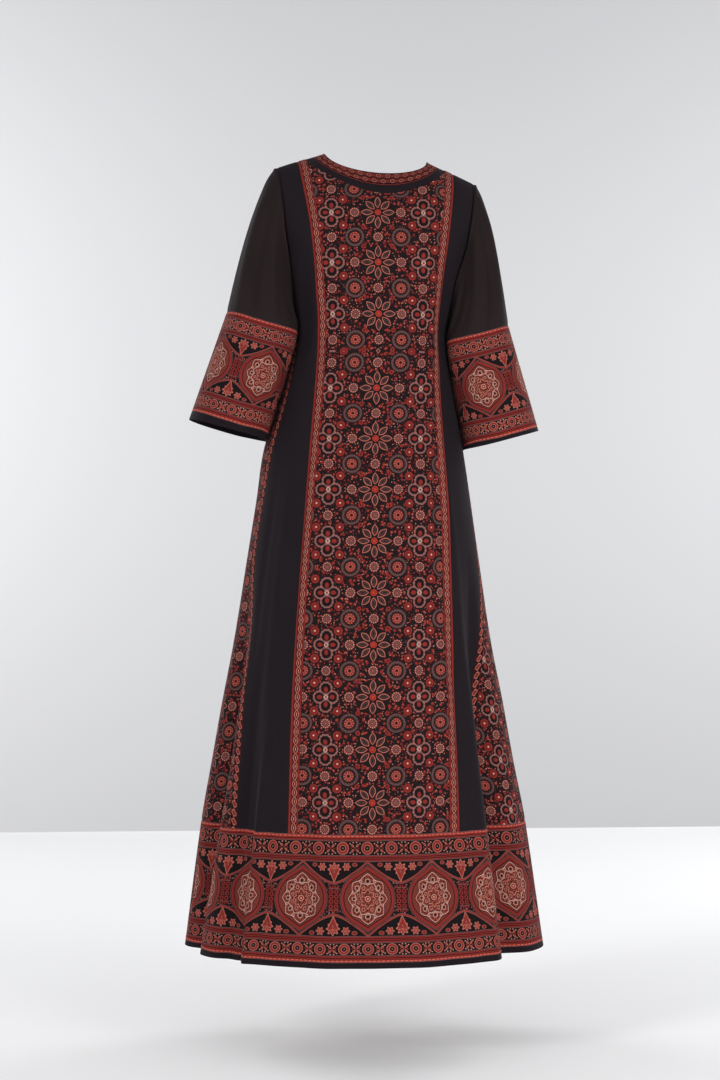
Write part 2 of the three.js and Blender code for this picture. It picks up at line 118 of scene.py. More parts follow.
def table(columns, rows):
    """Rows of numbers as one array for each named column."""
    return {name: np.array([row[i] for row in rows], float) for i, name in enumerate(columns)}


# The body's outline at each height, an oval whose back and front differ in depth
SECTIONS = table(
    ("z", "centre", "half", "back", "front", "power"),
    (
        (0, 0, 196, 66, 60, 2.6),
        (-60, 0, 188, 82, 76, 2.5),
        (-130, 0, 176, 99, 92, 2.4),
        (-200, 2, 157, 108, 103, 2.3),
        (-250, 5, 144, 109, 106, 2.3),
        (-320, 9, 134, 107, 101, 2.2),
        (-409, 14, 150, 113, 105, 2.2),
        (-514, 21, 175, 130, 118, 2.2),
        (-602, 21, 188, 143, 128, 2.2),
        (-708, 22, 203.5, 156, 140, 2.2),
        (-850, 23, 223, 176, 158, 2.1),
        (-955, 23, 241, 191, 171, 2.1),
        (-1060, 23, 258, 206, 184, 2.05),
        (-1165, 22, 277, 221, 197, 2),
        (-1384, 21, 308, 250, 222, 2),
    ),
)

# The shoulder line from the wearer's right shoulder to the left
SHOULDER_LINE = table(
    ("x", "z"),
    ((-175, -46), (-NECK_HALF, -NECK_RISE), (NECK_HALF, NECK_RISE), (175, -20.5)),
)

# Outer edges of the two trims, as x at each height
TRIM_EDGES = table(
    ("z", "left", "right"),
    (
        (0, 139, -138),
        (-60, 130, -134),
        (-130, 119, -125),
        (-235, 109, -112),
        (-300, 105, -107.5),
        (-400, 111, -108),
        (-514, 122, -113),
        (-655, 134, -119.5),
        (-800, 144.5, -123),
        (-960, 153.5, -125.5),
        (-1165, 161.5, -127),
    ),
)

# Armhole edges, as x at each height
ARMHOLE_EDGES = table(
    ("z", "left", "right"),
    (
        (0, 174, -174),
        (-20, 173, -174),
        (-46, 168.5, -173.5),
        (-90, 163.5, -168),
        (-130, 160, -161.5),
        (-165, 155, -155),
        (-200, 151, -143.5),
        (-235, 147.5, -134),
        (-270, 144, -129.5),
        (-300, 141, -127.5),
    ),
)

# Seams of the side gores, as the angle from centre back or from centre front
GORE_SEAMS = table(
    ("z", "left_back", "right_back", "front"),
    (
        (-300, 79.5, 83, 79),
        (-380, 73, 82, 75),
        (-484, 70, 82, 72),
        (-620, 73, 80, 71),
        (-724, 73, 77, 70),
        (-831, 69, 69.5, 68),
        (-978, 65.5, 62.5, 65),
        (-1165, 62.2, 57, 61),
    ),
)

# Hanging folds, which the solids have too: the angle where a fold starts and at the hem, its
# width in degrees, its depth, and the heights where it starts and is full. Angles are degrees
# from centre back.
FOLDS = (
    (46, 49, 4.5, 5, -760, -1165),
    (57, 57, 5, -12, -700, -1165),
    (72, 82, 5.5, -28, -640, -1165),
    (92, 97, 8, 8, -640, -1165),
    (-50, -50, 5, 5, -700, -1165),
    (-63, -61, 6.5, -34, -640, -1165),
    (-84, -84, 9, 9, -640, -1165),
    (16, 19, 7, 4, -560, -1384),
    (-17, -20, 7, 4, -560, -1384),
    (118, 118, 7, -12, -560, -1250),
    (134, 136, 8, 8, -560, -1250),
    (156, 155, 8, -8, -600, -1250),
    (178, 178, 9, 6, -600, -1250),
    (-157, -158, 8, -9, -600, -1250),
    (-136, -137, 8, 8, -560, -1250),
    (-116, -117, 7, -13, -560, -1250),
)

# Finer creases of the body, each between two heights: angle at its top and at its foot, width
# in degrees, depth, top and foot
CREASES = (
    (49, 50, 1.5, 3.5, -900, -1900),
    (53.5, 54.5, 2.2, -7, -900, -1900),
    (-55, -55.5, 1.6, 3, -900, -1900),
    (-59, -59.5, 2.2, -7, -900, -1900),
    (60, 61, 3, -7, -800, -1900),
    (77, 85, 3, -7, -640, -1900),
    (-65, -64, 3, -9, -640, -1900),
    (36, 41, 3, 3.1, -330, -1500),
    (43, 46, 2.8, -2.5, -420, -1500),
    (52, 55, 3, 2.9, -380, -1400),
    (62, 66, 2.5, -2.7, -460, -1250),
    (-38, -40, 2.8, 2.9, -360, -1450),
    (-44, -46, 2.5, -2.7, -420, -1500),
    (-54, -52, 3, 2.7, -380, -1300),
    (8, 10, 5, -1.7, -520, -1500),
    (-8, -9, 5, -1.7, -600, -1500),
    (26, 29, 4, -2, -640, -1500),
    (-28, -31, 4, -2, -560, -1500),
    (58, 70, 5, -2.4, -150, -420),
    (46, 58, 4, 1.8, -160, -400),
    (-58, -71, 5, -2.4, -165, -430),
    (-46, -60, 4, 1.8, -180, -410),
    (20, 12, 9, -2.4, -250, -520),
    (-20, -14, 9, -2.4, -270, -540),
    (122, 110, 5, -2.4, -150, -420),
    (134, 122, 4, 1.8, -160, -400),
    (-122, -109, 5, -2.4, -165, -430),
    (-134, -120, 4, 1.8, -180, -410),
    (142, 139, 3, 3.1, -340, -1500),
    (127, 126, 3, -2.5, -420, -1500),
    (-142, -140, 3, 2.9, -360, -1500),
    (-128, -126, 3, -2.7, -400, -1500),
    (168, 166, 5, -1.8, -520, -1500),
    (-169, -168, 5, -1.8, -560, -1500),
)

# Rings of each sleeve: its middle, half width across the arm, half depth from back to front,
# and how far the outer end is tilted up in degrees
SLEEVE_RINGS = {
    "left": {
        "lead": (179.5, -177, 136, 78, 76),
        "cuff_top": (204, -293, 60.6, 82, 18.7),
        "cuff_end": (261, -481, 69, 90, 16.1),
    },
    "right": {
        "lead": (-168.5, -194, 130, 78, 74),
        "cuff_top": (-182.3, -312, 55.2, 82, 16.8),
        "cuff_end": (-223.4, -497.5, 67.1, 90, 14.8),
    },
}

# Creases of a sleeve: turn at its top and at its foot in degrees from the shoulder, positive
# to the back, width in degrees, depth, and the shares of the length where it starts and ends
SLEEVE_CREASES = (
    (40, 86, 9, -6.5, 0.08, 1.25),
    (64, 118, 11, 6.5, 0.02, 1.2),
    (98, 150, 9, -6.0, 0.02, 1.1),
    (20, 48, 9, 4.0, 0.08, 1.1),
    (2, 12, 8, -3.5, 0.15, 1.2),
    (-30, -52, 10, 4.5, 0.08, 1.1),
    (-52, -86, 9, -6.0, 0.08, 1.25),
    (-74, -116, 11, 6.0, 0.02, 1.2),
    (-100, -146, 9, -5.0, 0.02, 1.1),
    (156, 172, 8, 3.0, 0.25, 1.2),
)


def read(rows, column, z):
    """A column of a table at heights z, on a smooth curve through its rows, top row first."""
    heights, values = rows["z"], rows[column]
    last = len(heights) - 1
    before = np.maximum(np.arange(last + 1) - 1, 0)
    after = np.minimum(np.arange(last + 1) + 1, last)
    slopes = (values[after] - values[before]) / (heights[after] - heights[before])
    z = np.clip(z, heights[last], heights[0])
    i = np.clip(np.searchsorted(-heights, -z, side="left"), 1, last)
    span = heights[i] - heights[i - 1]
    t = (z - heights[i - 1]) / span
    rise = values[i] - values[i - 1]
    bend = (slopes[i - 1] * span - rise) * (1 - t) + (rise - slopes[i] * span) * t
    return values[i - 1] + rise * t + bend * t * (1 - t)


def mix(a, b, share):
    return a + (b - a) * share


def ease(share):
    share = np.clip(share, 0, 1)
    return share * share * (3 - 2 * share)


def crest(away, width):
    """A soft ridge of height 1, which is almost gone two widths away."""
    return np.exp(-((away / width) ** 2))


def shoulder_z(x):
    return np.interp(x, SHOULDER_LINE["x"], SHOULDER_LINE["z"])


def turn_between(angle, other):
    """The shortest turn from other to angle, in degrees."""
    away = angle - other
    return away - 360 * np.round(away / 360)


def fold_depth(phi, z):
    """How far the folds and creases move the cloth out at angles and heights."""
    depth = np.zeros(np.broadcast(phi, z).shape)
    for start, hem, width, deep, top, full in FOLDS:
        drift = np.clip((top - z) / (top - HEM_Z), 0, 1)
        away = turn_between(phi, mix(start, hem, drift))
        depth += deep * ease((top - z) / (top - full)) * crest(away, width)
    for start, end, width, deep, top, foot in CREASES:
        share = (top - z) / (top - foot)
        away = turn_between(phi, mix(start, end, np.clip(share, 0, 1)))
        reach = ease(3 * share) * ease(3 - 3 * share)
        depth += deep * reach * crest(away, width)
    return depth


def radius(phi, z):
    """Distance from the section's middle to the cloth."""
    across = np.sin(np.radians(phi))
    along = np.cos(np.radians(phi))
    depth = np.where(along > 0, read(SECTIONS, "back", z), read(SECTIONS, "front", z))
    power = read(SECTIONS, "power", z)
    half = read(SECTIONS, "half", z)
    total = np.abs(across / half) ** power + np.abs(along / depth) ** power
    return total ** (-1 / power) + fold_depth(phi, z)


def depth_at(side, x, z):
    """How far back or forward the section reaches at x, before the shoulder rounds it."""
    power = read(SECTIONS, "power", z)
    share = np.abs((x - read(SECTIONS, "centre", z)) / read(SECTIONS, "half", z))
    depth = read(SECTIONS, "back" if side > 0 else "front", z)
    return depth * (1 - np.minimum(share, 0.999) ** power) ** (1 / power)


def round_power(x):
    """The shoulder's rounding is squarer near the neck."""
    return 2 + NECK_SQUARING * (1 - np.clip(x / NECK_REACH, -1, 1) ** 2)


def round_share(x, z):
    return np.clip((z - ROUND_FROM_Z) / (shoulder_z(x) - ROUND_FROM_Z), 0, 1)


def reach_at(side, angle, z):
    """Distance to the cloth at an angle from centre back for side 1, centre front for -1."""
    return radius(angle if side > 0 else 180 - angle, z)


def cloth_point(side, angle, z):
    reach = reach_at(side, angle, z)
    x = read(SECTIONS, "centre", z) + reach * np.sin(np.radians(angle))
    power = round_power(x)
    rounding = (1 - round_share(x, z) ** power) ** (1 / power)
    y = side * reach * np.cos(np.radians(angle)) * rounding
    return np.stack(np.broadcast_arrays(x, y, z), axis=-1)


def cloth_normal(side, angle, z):
    """Directions out of the cloth, from points close by."""
    step = 0.05
    across = cloth_point(side, angle + step, z) - cloth_point(side, angle - step, z)
    down = cloth_point(side, angle, z - step) - cloth_point(side, angle, z + step)
    return side * unit(np.cross(across, down))


def unit(vectors):
    return vectors / np.maximum(np.linalg.norm(vectors, axis=-1, keepdims=True), 1e-9)


def angle_at(side, x, z):
    return np.degrees(np.arctan2(x - read(SECTIONS, "centre", z), depth_at(side, x, z)))


def trim_outer(side, hand):
    return lambda z: angle_at(side, read(TRIM_EDGES, hand, z), z)


def trim_inner(side, hand):
    def angle_of(z):
        x = read(TRIM_EDGES, hand, z)
        slope = depth_at(side, x + 1, z) - depth_at(side, x - 1, z)
        return angle_at(side, x - HANDS[hand] * TRIM_WIDTH / np.hypot(1, slope / 2), z)

    return angle_of


def gore_seam(side, hand):
    column = "front" if side < 0 else hand + "_back"
    return lambda z: HANDS[hand] * read(GORE_SEAMS, column, z)


def side_seam(side, hand):
    gore = gore_seam(side, hand)

    def angle_of(z):
        armhole = angle_at(side, read(ARMHOLE_EDGES, hand, z), z)
        return np.where(z > UNDERARM_Z, armhole, gore(z))

    return angle_of


def gore_angle(hand, share):
    """Lines of the gore under an arm, from its back seam round to its front seam."""
    back, front = gore_seam(1, hand), gore_seam(-1, hand)
    return lambda z: mix(back(z), HANDS[hand] * 180 - front(z), share)


def between(from_seam, to_seam, share):
    return lambda z: mix(from_seam(z), to_seam(z), share)


def shoulder_top(side, angle_of):
    """The height where a line down the cloth meets the shoulder, closer at each try."""
    z = -10.0
    for _ in range(12):
        out = reach_at(side, angle_of(z), z) * np.sin(np.radians(angle_of(z)))
        z = float(shoulder_z(read(SECTIONS, "centre", z) + out))
    return z


def levels_between(top, foot):
    count = max(1, round((top - foot) / ROW_STEP))
    return np.linspace(top, foot, count + 1)


UPPER_LEVELS = levels_between(ROUND_FROM_Z, UNDERARM_Z)
LOWER_LEVELS = levels_between(UNDERARM_Z, BORDER_TOP_Z)
BORDER_LEVELS = levels_between(BORDER_TOP_Z, HEM_Z)


def heights_below(side, angle_of, top):
    """Heights down a line of cloth: close together where the shoulder rounds, then the levels."""
    x = cloth_point(side, angle_of(top), top)[0]
    power = round_power(x)
    top_share = round_share(x, top)
    top_turn = math.asin(top_share ** (power / 2))
    shares = np.sin(top_turn * (1 - np.arange(ROUND_ROWS) / ROUND_ROWS)) ** (2 / power)
    rounded = ROUND_FROM_Z + (top - ROUND_FROM_Z) * shares / top_share
    return np.concatenate([rounded, UPPER_LEVELS])


def spots(side, angle, z):
    """Points and normals of the cloth, joined as one array of six columns."""
    return np.concatenate([cloth_point(side, angle, z), cloth_normal(side, angle, z)], axis=-1)


def even(count):
    return np.linspace(0, 1, count + 1)


def seam_shares(count, width):
    """Shares across a piece, with two lines close to each edge for the dip of its seams."""
    close = SEAM_REACH * SEAM_LINES / width
    inner = mix(close[1], 1 - close[1], np.linspace(0, 1, count - 1)[1:-1])
    return np.concatenate([[0], close, inner[1:-1], 1 - close[::-1], [1]])


def panel(side, from_seam, to_seam, shares, top_of=None):
    """A piece between two seams, whose lines reach the shoulder or a given top."""
    lines = []
    for share in shares:
        angle_of = between(from_seam, to_seam, share)
        top = top_of(share) if top_of else shoulder_top(side, angle_of)
        heights = np.concatenate([heights_below(side, angle_of, top), LOWER_LEVELS[1:]])
        lines.append(spots(side, angle_of(heights), heights))
    return np.array(lines)


def band_edge(side):
    """The curve where the plain neck band ends and the centre panel begins, as a height."""
    left_top = shoulder_top(side, trim_inner(side, "left"))
    right_top = shoulder_top(side, trim_inner(side, "right"))

    def edge_z(share):
        drop = BAND_DROP[side] * math.sqrt(1 - (1 - 2 * share) ** 2)
        return mix(left_top, right_top, share) - drop

    return edge_z


def neck_spots(side, start, end, rows, shares):
    """The neck's bands, as lines from the neck edge out to the centre panel between two shares."""
    left, right = trim_inner(side, "left"), trim_inner(side, "right")
    edge_z = band_edge(side)
    lines = []
    for share in shares:
        across = 1 - 2 * share
        inner_x = NECK_HALF * across
        inner_z = NECK_RISE * across - NECK_DROP[side] * math.sqrt(1 - across**2)
        z = edge_z(share)
        outer = cloth_point(side, mix(left(z), right(z), share), z)
        reach = mix(start, end, even(rows))
        x = mix(inner_x, outer[0], reach)
        heights = mix(inner_z, z, reach)
        lines.append(spots(side, angle_at(side, x, heights), heights))
    return np.array(lines)


def gore_spots(hand):
    angles = [gore_angle(hand, share)(LOWER_LEVELS) for share in seam_shares(GORE_COLUMNS, GORE_WIDTH)]
    return np.array([spots(1, angle, LOWER_LEVELS) for angle in angles])


def border_spots(side):
    """The hem border, from the wearer's left side round to the right."""
    angles = np.linspace(90, -90, 2 * (SIDE_COLUMNS + GORE_COLUMNS // 2) + CENTRE_COLUMNS + 1)
    return np.array([spots(side, angle, BORDER_LEVELS) for angle in angles])


def ring_points(ring, hand, turns):
    """Points of a sleeve ring at turns from its outer end, positive towards the back."""
    x, z, half, depth, tilt = ring
    across = half * signed_power(np.cos(turns), 2 / SLEEVE_POWER)
    along = depth * signed_power(np.sin(turns), 2 / SLEEVE_POWER)
    lean = math.radians(tilt)
    out = HANDS[hand] * across * math.cos(lean)
    return np.stack([x + out, along, z + across * math.sin(lean)], -1)


def signed_power(value, power):
    return np.sign(value) * np.abs(value) ** power


def armhole_points(hand):
    """The armhole's edge from the shoulder down the back, under the arm and up the front."""

    def edge(side):
        angle_of = side_seam(side, hand)
        heights = heights_below(side, angle_of, shoulder_top(side, angle_of))
        return cloth_point(side, angle_of(heights), heights)

    shares = seam_shares(GORE_COLUMNS // 2, UNDERARM_WIDTH)[1:-1]
    angles = np.array([float(gore_angle(hand, share)(UNDERARM_Z)) for share in shares])
    under = cloth_point(1, angles, UNDERARM_Z)
    return np.concatenate([edge(1), under, edge(-1)[::-1][:-1]])


def armhole_turns(points):
    """How far round each point lies, as a turn from the shoulder to the underarm's middle."""
    lengths = np.linalg.norm(np.roll(points, -1, axis=0) - points, axis=1)
    middle = int(np.argmax(points[:, 1] < 0))
    walked = np.concatenate([[0], np.cumsum(lengths)])
    back, whole = walked[middle], walked[-1]
    return np.where(
        np.arange(len(points)) <= middle,
        math.pi * walked[:-1] / back,
        math.pi * (1 + (walked[:-1] - back) / (whole - back)),
    )


def tube_normals(grid, hand):
    """Directions out of a closed tube of points."""
    around = np.roll(grid, -1, axis=0) - np.roll(grid, 1, axis=0)
    return -HANDS[hand] * unit(np.cross(around, np.gradient(grid, axis=1)))


def evened(values, passes):
    """A closed grid's values, evened out round the tube."""
    for _ in range(passes):
        values = (np.roll(values, 1, axis=0) + 2 * values + np.roll(values, -1, axis=0)) / 4
    return values


def sleeve_crease(turns, shares):
    """How far the creases move the sleeve out. Turns go down the array, shares across."""
    depth = np.zeros((len(turns), len(shares)))
    angle = np.degrees(turns)[:, None]
    for start, end, width, deep, top, foot in SLEEVE_CREASES:
        share = (shares[None, :] - top) / (foot - top)
        away = turn_between(angle, mix(start, end, np.clip(share, 0, 1)))
        depth += deep * ease(2.5 * share) * ease(3 - 3 * share) * crest(away, width)
    return depth


def pressed(points, hand, turns, weight):
    """Draws a sleeve's inner side towards the body, as far as it stays clear of it."""
    inner = ease((np.abs(turn_between(np.degrees(turns), 0)) - INNER_TURN) / INNER_SPREAD)
    pull = SLEEVE_PULL * inner[:, None] * weight[None, :]
    best = np.zeros_like(pull)
    x, y, z = np.moveaxis(points, -1, 0)
    for share in even(PULL_TRIES)[1:]:
        away_x = x - HANDS[hand] * pull * share - read(SECTIONS, "centre", z)
        phi = np.degrees(np.arctan2(away_x, y))
        room = np.hypot(away_x, y) - radius(phi, z)
        best = np.where(room > SLEEVE_CLEAR, pull * share, best)
    return np.stack([x - HANDS[hand] * evened(best, 3), y, z], -1)


def joined(points, normals):
    return np.concatenate([points, normals], axis=-1)


def sleeve_spots(hand):
    """A sleeve from the armhole to the cuff, and its cuff."""
    start = armhole_points(hand)
    turns = armhole_turns(start)
    rings = SLEEVE_RINGS[hand].values()
    lead, top, end = (ring_points(ring, hand, turns)[:, None] for ring in rings)
    shares = even(SLEEVE_ROWS)
    t = shares[None, :, None]
    bend = start[:, None] * (1 - t) ** 2 + 2 * lead * t * (1 - t) + top * t**2
    normals = unit(evened(tube_normals(bend, hand), 4))
    crease = sleeve_crease(turns, shares)
    head = HEAD_RISE * crest(shares - HEAD_SHARE, HEAD_WIDTH) * ease(shares * 30)
    sleeve = bend + normals * (crease + head[None, :])[..., None]
    sleeve = pressed(sleeve, hand, turns, ease(shares * 1.2))
    down = ease(even(CUFF_ROWS))
    cuff = mix(top, end, even(CUFF_ROWS)[None, :, None])
    ripple = crease[:, -1:] * (1 - CREASE_FADE * down)[None, :]
    cuff = cuff + tube_normals(cuff, hand) * ripple[..., None]
    cuff = pressed(cuff, hand, turns, 1 - PULL_FADE * down)
    return [joined(tube, unit(evened(tube_normals(tube, hand), 1))) for tube in (sleeve, cuff)]


def lengths_along(points, axis):
    """Running length along one axis of a grid of points."""
    steps = np.linalg.norm(np.diff(points, axis=axis), axis=-1)
    start = np.zeros_like(np.take(steps, [0], axis=axis))
    return np.concatenate([start, np.cumsum(steps, axis=axis)], axis=axis)


def dipped(grid, seams):
    """The grid with its cloth drawn in along the seams at its edges."""
    points, normals = grid[..., :3], grid[..., 3:]
    across, down = lengths_along(points, 0), lengths_along(points, 1)
    away = {
        "start": across,
        "end": across[-1:] - across,
        "top": down,
        "foot": down[:, -1:] - down,
    }
    dip = np.zeros(points.shape[:2])
    for seam in seams:
        dip = np.maximum(dip, SEAM_DIP * crest(away[seam], SEAM_REACH))
    return joined(points - normals * dip[..., None], normals)


def panel_map(grid, level_row, offset):
    """Cloth coordinates of a body panel: across from its middle, and down from the level row."""
    points = grid[..., :3]
    across = lengths_along(points, 0)
    middle = len(grid) // 2
    across = across - across[middle]
    down = lengths_along(points, 1)
    down = down - down[:, level_row : level_row + 1]
    down[:, level_row:] = down[middle, level_row:]
    level_x = points[:, level_row, 0]
    order = np.argsort(level_x)
    above = points[:, :level_row, 0]
    inside = np.clip(above, level_x.min(), level_x.max())
    spread = np.interp(inside, level_x[order], across[order, level_row])
    beyond = (above - inside) * np.sign(across[-1, level_row] * (level_x[-1] - level_x[0]))
    across[:, :level_row] = spread + beyond
    return np.stack([across + offset, down], axis=-1) * MM


def strip_map(grid):
    """Cloth coordinates of a narrow strip: across it from its first line, and along it."""
    points = grid[..., :3]
    along = lengths_along(points, 1)[:1].repeat(len(grid), 0)
    return np.stack([lengths_along(points, 0), along], -1) * MM


def band_map(grid, offset):
    """Cloth coordinates of a curved band: along its middle row, and across from its first row."""
    points = grid[..., :3]
    across = lengths_along(points, 1)
    middle_row = lengths_along(points, 0)[:, across.shape[1] // 2]
    along = middle_row - middle_row[len(middle_row) // 2] + offset
    return np.stack([np.broadcast_to(along[:, None], across.shape), across], -1) * MM


def neck_map(grid):
    """Cloth coordinates of the printed neck band, which is as wide all round on the print."""
    cloth_map = band_map(grid, 0)
    cloth_map[..., 1] = even(grid.shape[1] - 1) * NECK_BAND_WIDTH * MM
    return cloth_map


def tube_map(grid, around):
    """Cloth coordinates of a closed tube, with one more line than it has. around is the
    girth that the cloth has all along the tube, or None for its own."""
    closed = np.concatenate([grid, grid[:1]])[..., :3]
    along = lengths_along(closed, 0)
    share = along / along[-1:]
    girth = along[-1:] if around is None else around
    down = lengths_along(closed, 1)
    return np.stack([share * girth, down], -1) * MM


def wall_faces(lines, rows, closed):
    """Corners of a closed wall's faces as line, row and layer: the outside, the inside and the
    edges."""

    def face(*corners):
        return np.stack([np.stack(np.broadcast_arrays(*corner), -1) for corner in corners], 1)

    steps = lines if closed else lines - 1
    line, row = np.meshgrid(np.arange(steps), np.arange(rows - 1), indexing="ij")
    line, row = line.ravel(), row.ravel()
    outside = face((line, row, 0), (line + 1, row, 0), (line + 1, row + 1, 0), (line, row + 1, 0))
    inside = outside[:, ::-1] + (0, 0, 1)
    along, foot = np.arange(steps), rows - 1
    edges = [
        face((along + 1, 0, 0), (along, 0, 0), (along, 0, 1), (along + 1, 0, 1)),
        face((along, foot, 0), (along + 1, foot, 0), (along + 1, foot, 1), (along, foot, 1)),
    ]
    if not closed:
        down, last = np.arange(foot), lines - 1
        edges += [
            face((0, down, 0), (0, down + 1, 0), (0, down + 1, 1), (0, down, 1)),
            face((last, down + 1, 0), (last, down, 0), (last, down, 1), (last, down + 1, 1)),
        ]
    return outside, inside, np.concatenate(edges)


def bake_map(outside, inside, edges, lines, rows):
    """A flat map on which no two faces of a wall lie over each other."""

    def grid_part(corners, left, width):
        across = left + width * corners[..., 0] / max(lines, 1)
        up = BAKE_MARGIN + (1 - 2 * BAKE_MARGIN) * corners[..., 1] / (rows - 1)
        return np.stack([across, up], -1)

    count = len(edges)
    slots = np.arange(count)
    low, high = (slots + BAKE_GAP) / count, (slots + 1 - BAKE_GAP) / count
    left, right = (np.full(count, side) for side in BAKE_STRIP)
    strip = np.stack([left, low, right, low, right, high, left, high], -1).reshape(count, 4, 2)
    parts = grid_part(outside, *BAKE_OUTSIDE), grid_part(inside, *BAKE_INSIDE), strip
    return np.concatenate(parts)


def add_object(name, data):
    thing = bpy.data.objects.new(name, data)
    bpy.context.scene.collection.objects.link(thing)
    return thing


def add_map(mesh, name, corners):
    layer = mesh.uv_layers.new(name=name)
    layer.data.foreach_set("uv", corners.astype(np.float32).ravel())


def add_seam_map(piece, grid):
    """A map of how far each corner of the cloth is from the nearer of its long seams."""
    across = lengths_along(grid[..., :3], 0)
    seam = np.minimum(across, across[-1:] - across).ravel() * MM
    mesh = piece.data
    corners = np.zeros(len(mesh.loops), np.int32)
    mesh.loops.foreach_get("vertex_index", corners)
    away = seam[corners % len(seam)]
    add_map(mesh, "seam", np.stack([away, away], -1))


def shell(name, grid, cloth_map, closed=False):
    """A thin closed wall of cloth, whose outside is the grid's points."""
    points, normals = grid[..., :3] * MM, grid[..., 3:]
    lines, rows = points.shape[:2]
    inner = points - normals * CLOTH * MM
    groups = wall_faces(lines, rows, closed)
    maps = bake_map(*groups, lines, rows)
    corners = np.concatenate(groups)
    layer_start = corners[..., 2] * lines * rows
    vertices = layer_start + (corners[..., 0] % lines) * rows + corners[..., 1]
    cloth = cloth_map[corners[..., 0], corners[..., 1]]
    first = points.reshape(-1, 3)[vertices[: len(groups[0])]]
    facing = np.cross(first[:, 1] - first[:, 0], first[:, 3] - first[:, 0])
    out = normals.reshape(-1, 3)[vertices[: len(groups[0]), 0]]
    if np.sum(facing * out) < 0:
        vertices, cloth, maps = vertices[:, ::-1], cloth[:, ::-1], maps[:, ::-1]
    mesh = bpy.data.meshes.new(name)
    mesh.from_pydata(np.concatenate([points.reshape(-1, 3), inner.reshape(-1, 3)]), [], vertices)
    mesh.shade_smooth()
    mesh.set_sharp_from_angle(angle=math.radians(SHARP_ANGLE))
    add_map(mesh, "cloth", cloth)
    add_map(mesh, "OFBake", maps)
    return add_object(name, mesh)


def dress(name, grid, seams, cloth_map, material, closed=False):
    """The cloth that stands for a solid, drawn in along its seams."""
    piece = shell(f"{name}_cloth", dipped(grid, seams), cloth_map, closed)
    piece.data.materials.append(material)
    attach(piece, "root")
    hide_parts(name)
    return piece


def line_across(grid, away, closed):
    """The line across a piece that is so far from its top edge, or from its foot if negative."""
    down = lengths_along(grid[..., :3], 1)
    place = away if away > 0 else down[:, -1] + away
    places = np.broadcast_to(place, len(grid))
    line = [[np.interp(p, d, column) for column in row.T] for p, d, row in zip(places, down, grid)]
    line = np.array(line)
    return np.concatenate([line, line[:1]]) if closed else line


def along_line(line, pitch):
    """Points, tangents and normals at even steps along a line."""
    lengths = lengths_along(line[:, None, :3], 0)[:, 0]
    count = int(lengths[-1] / pitch)
    places = (np.arange(count) + 0.5) * lengths[-1] / count
    columns = np.concatenate([line, np.gradient(line[:, :3], axis=0)], axis=1)
    found = np.stack([np.interp(places, lengths, column) for column in columns.T], -1)
    return found[:, :3], unit(found[:, 6:]), unit(found[:, 3:6])


def stitches(name, grid, away, kind, material, closed=False):
    """A row of stitches across a piece of cloth, each a short rounded length of thread."""
    pitch, length, width = kind
    places, tangents, normals = along_line(line_across(grid, away, closed), pitch)
    turns = 2 * math.pi * np.arange(STITCH_SIDES)[:, None] / STITCH_SIDES
    sides = np.cross(normals, tangents)
    rim = sides[:, None] * np.cos(turns) + normals[:, None] * np.sin(turns)
    rings = [
        (places + tangents * (share * length / 2))[:, None] + rim * (thick * width / 2)
        for share, thick in STITCH_RINGS
    ]
    vertices = np.stack(rings, 1).reshape(-1, 3) * MM
    mesh = bpy.data.meshes.new(name)
    mesh.from_pydata(vertices, [], stitch_faces(len(places)))
    mesh.shade_smooth()
    mesh.materials.append(material)
    piece = add_object(name, mesh)
    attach(piece, "root")


def stitch_faces(count):
    """Faces of count stitches, whose rings of vertices follow on from each other."""
    rings, sides = len(STITCH_RINGS), STITCH_SIDES
    one = [tuple(range(sides))[::-1], tuple(range((rings - 1) * sides, rings * sides))]
    for ring in range(rings - 1):
        for side in range(sides):
            low, next_low = ring * sides + side, ring * sides + (side + 1) % sides
            one.append((low, next_low, next_low + sides, low + sides))
    return [tuple(v + rings * sides * i for v in face) for i in range(count) for face in one]


def rgb(red, green, blue):
    """A colour from its 0 to 255 values on a screen, as linear light."""
    shares = [value / 255 for value in (red, green, blue)]
    return tuple(s / 12.92 if s <= 0.04045 else ((s + 0.055) / 1.055) ** 2.4 for s in shares)


BLACK = rgb(26, 20, 24)
GROUND = rgb(27, 19, 21)
DARK = rgb(21, 15, 17)
DEEP_RED = rgb(54, 20, 20)
MAROON = rgb(75, 25, 24)
RED = rgb(124, 39, 34)
BRIGHT_RED = rgb(160, 52, 40)
ROSE = rgb(164, 94, 81)
PINK = rgb(190, 126, 110)
CREAM = rgb(206, 172, 156)
BROWN = rgb(75, 53, 51)
MAUVE = rgb(112, 78, 76)
RUST = rgb(106, 42, 35)
LIGHT_RUST = rgb(126, 50, 39)
FADED_BLACK = rgb(30, 24, 28)
SHEER_BLACK = rgb(28, 22, 24)
SHEER_BROWN = rgb(44, 33, 31)


class Field:
    """A number that varies over the cloth, as an output of a material's nodes."""

    def __init__(self, tree, socket):
        self.tree = tree
        self.socket = socket

    def apply(self, operation, *others, clamp=False):
        node = self.tree.nodes.new("ShaderNodeMath")
        node.operation = operation
        node.use_clamp = clamp
        for place, value in enumerate((self, *others)):
            feed(self.tree, value, node.inputs[place])
        return Field(self.tree, node.outputs[0])

    def __add__(self, other):
        return self.apply("ADD", other)

    def __sub__(self, other):
        return self.apply("SUBTRACT", other)

    def __rsub__(self, other):
        return self.apply("MULTIPLY_ADD", -1.0, other)

    def __mul__(self, other):
        return self.apply("MULTIPLY", other)

    def __truediv__(self, other):
        return self.apply("DIVIDE", other)

    def __pow__(self, other):
        return self.apply("POWER", other)

    def __abs__(self):
        return self.apply("ABSOLUTE")

    __radd__ = __add__
    __rmul__ = __mul__


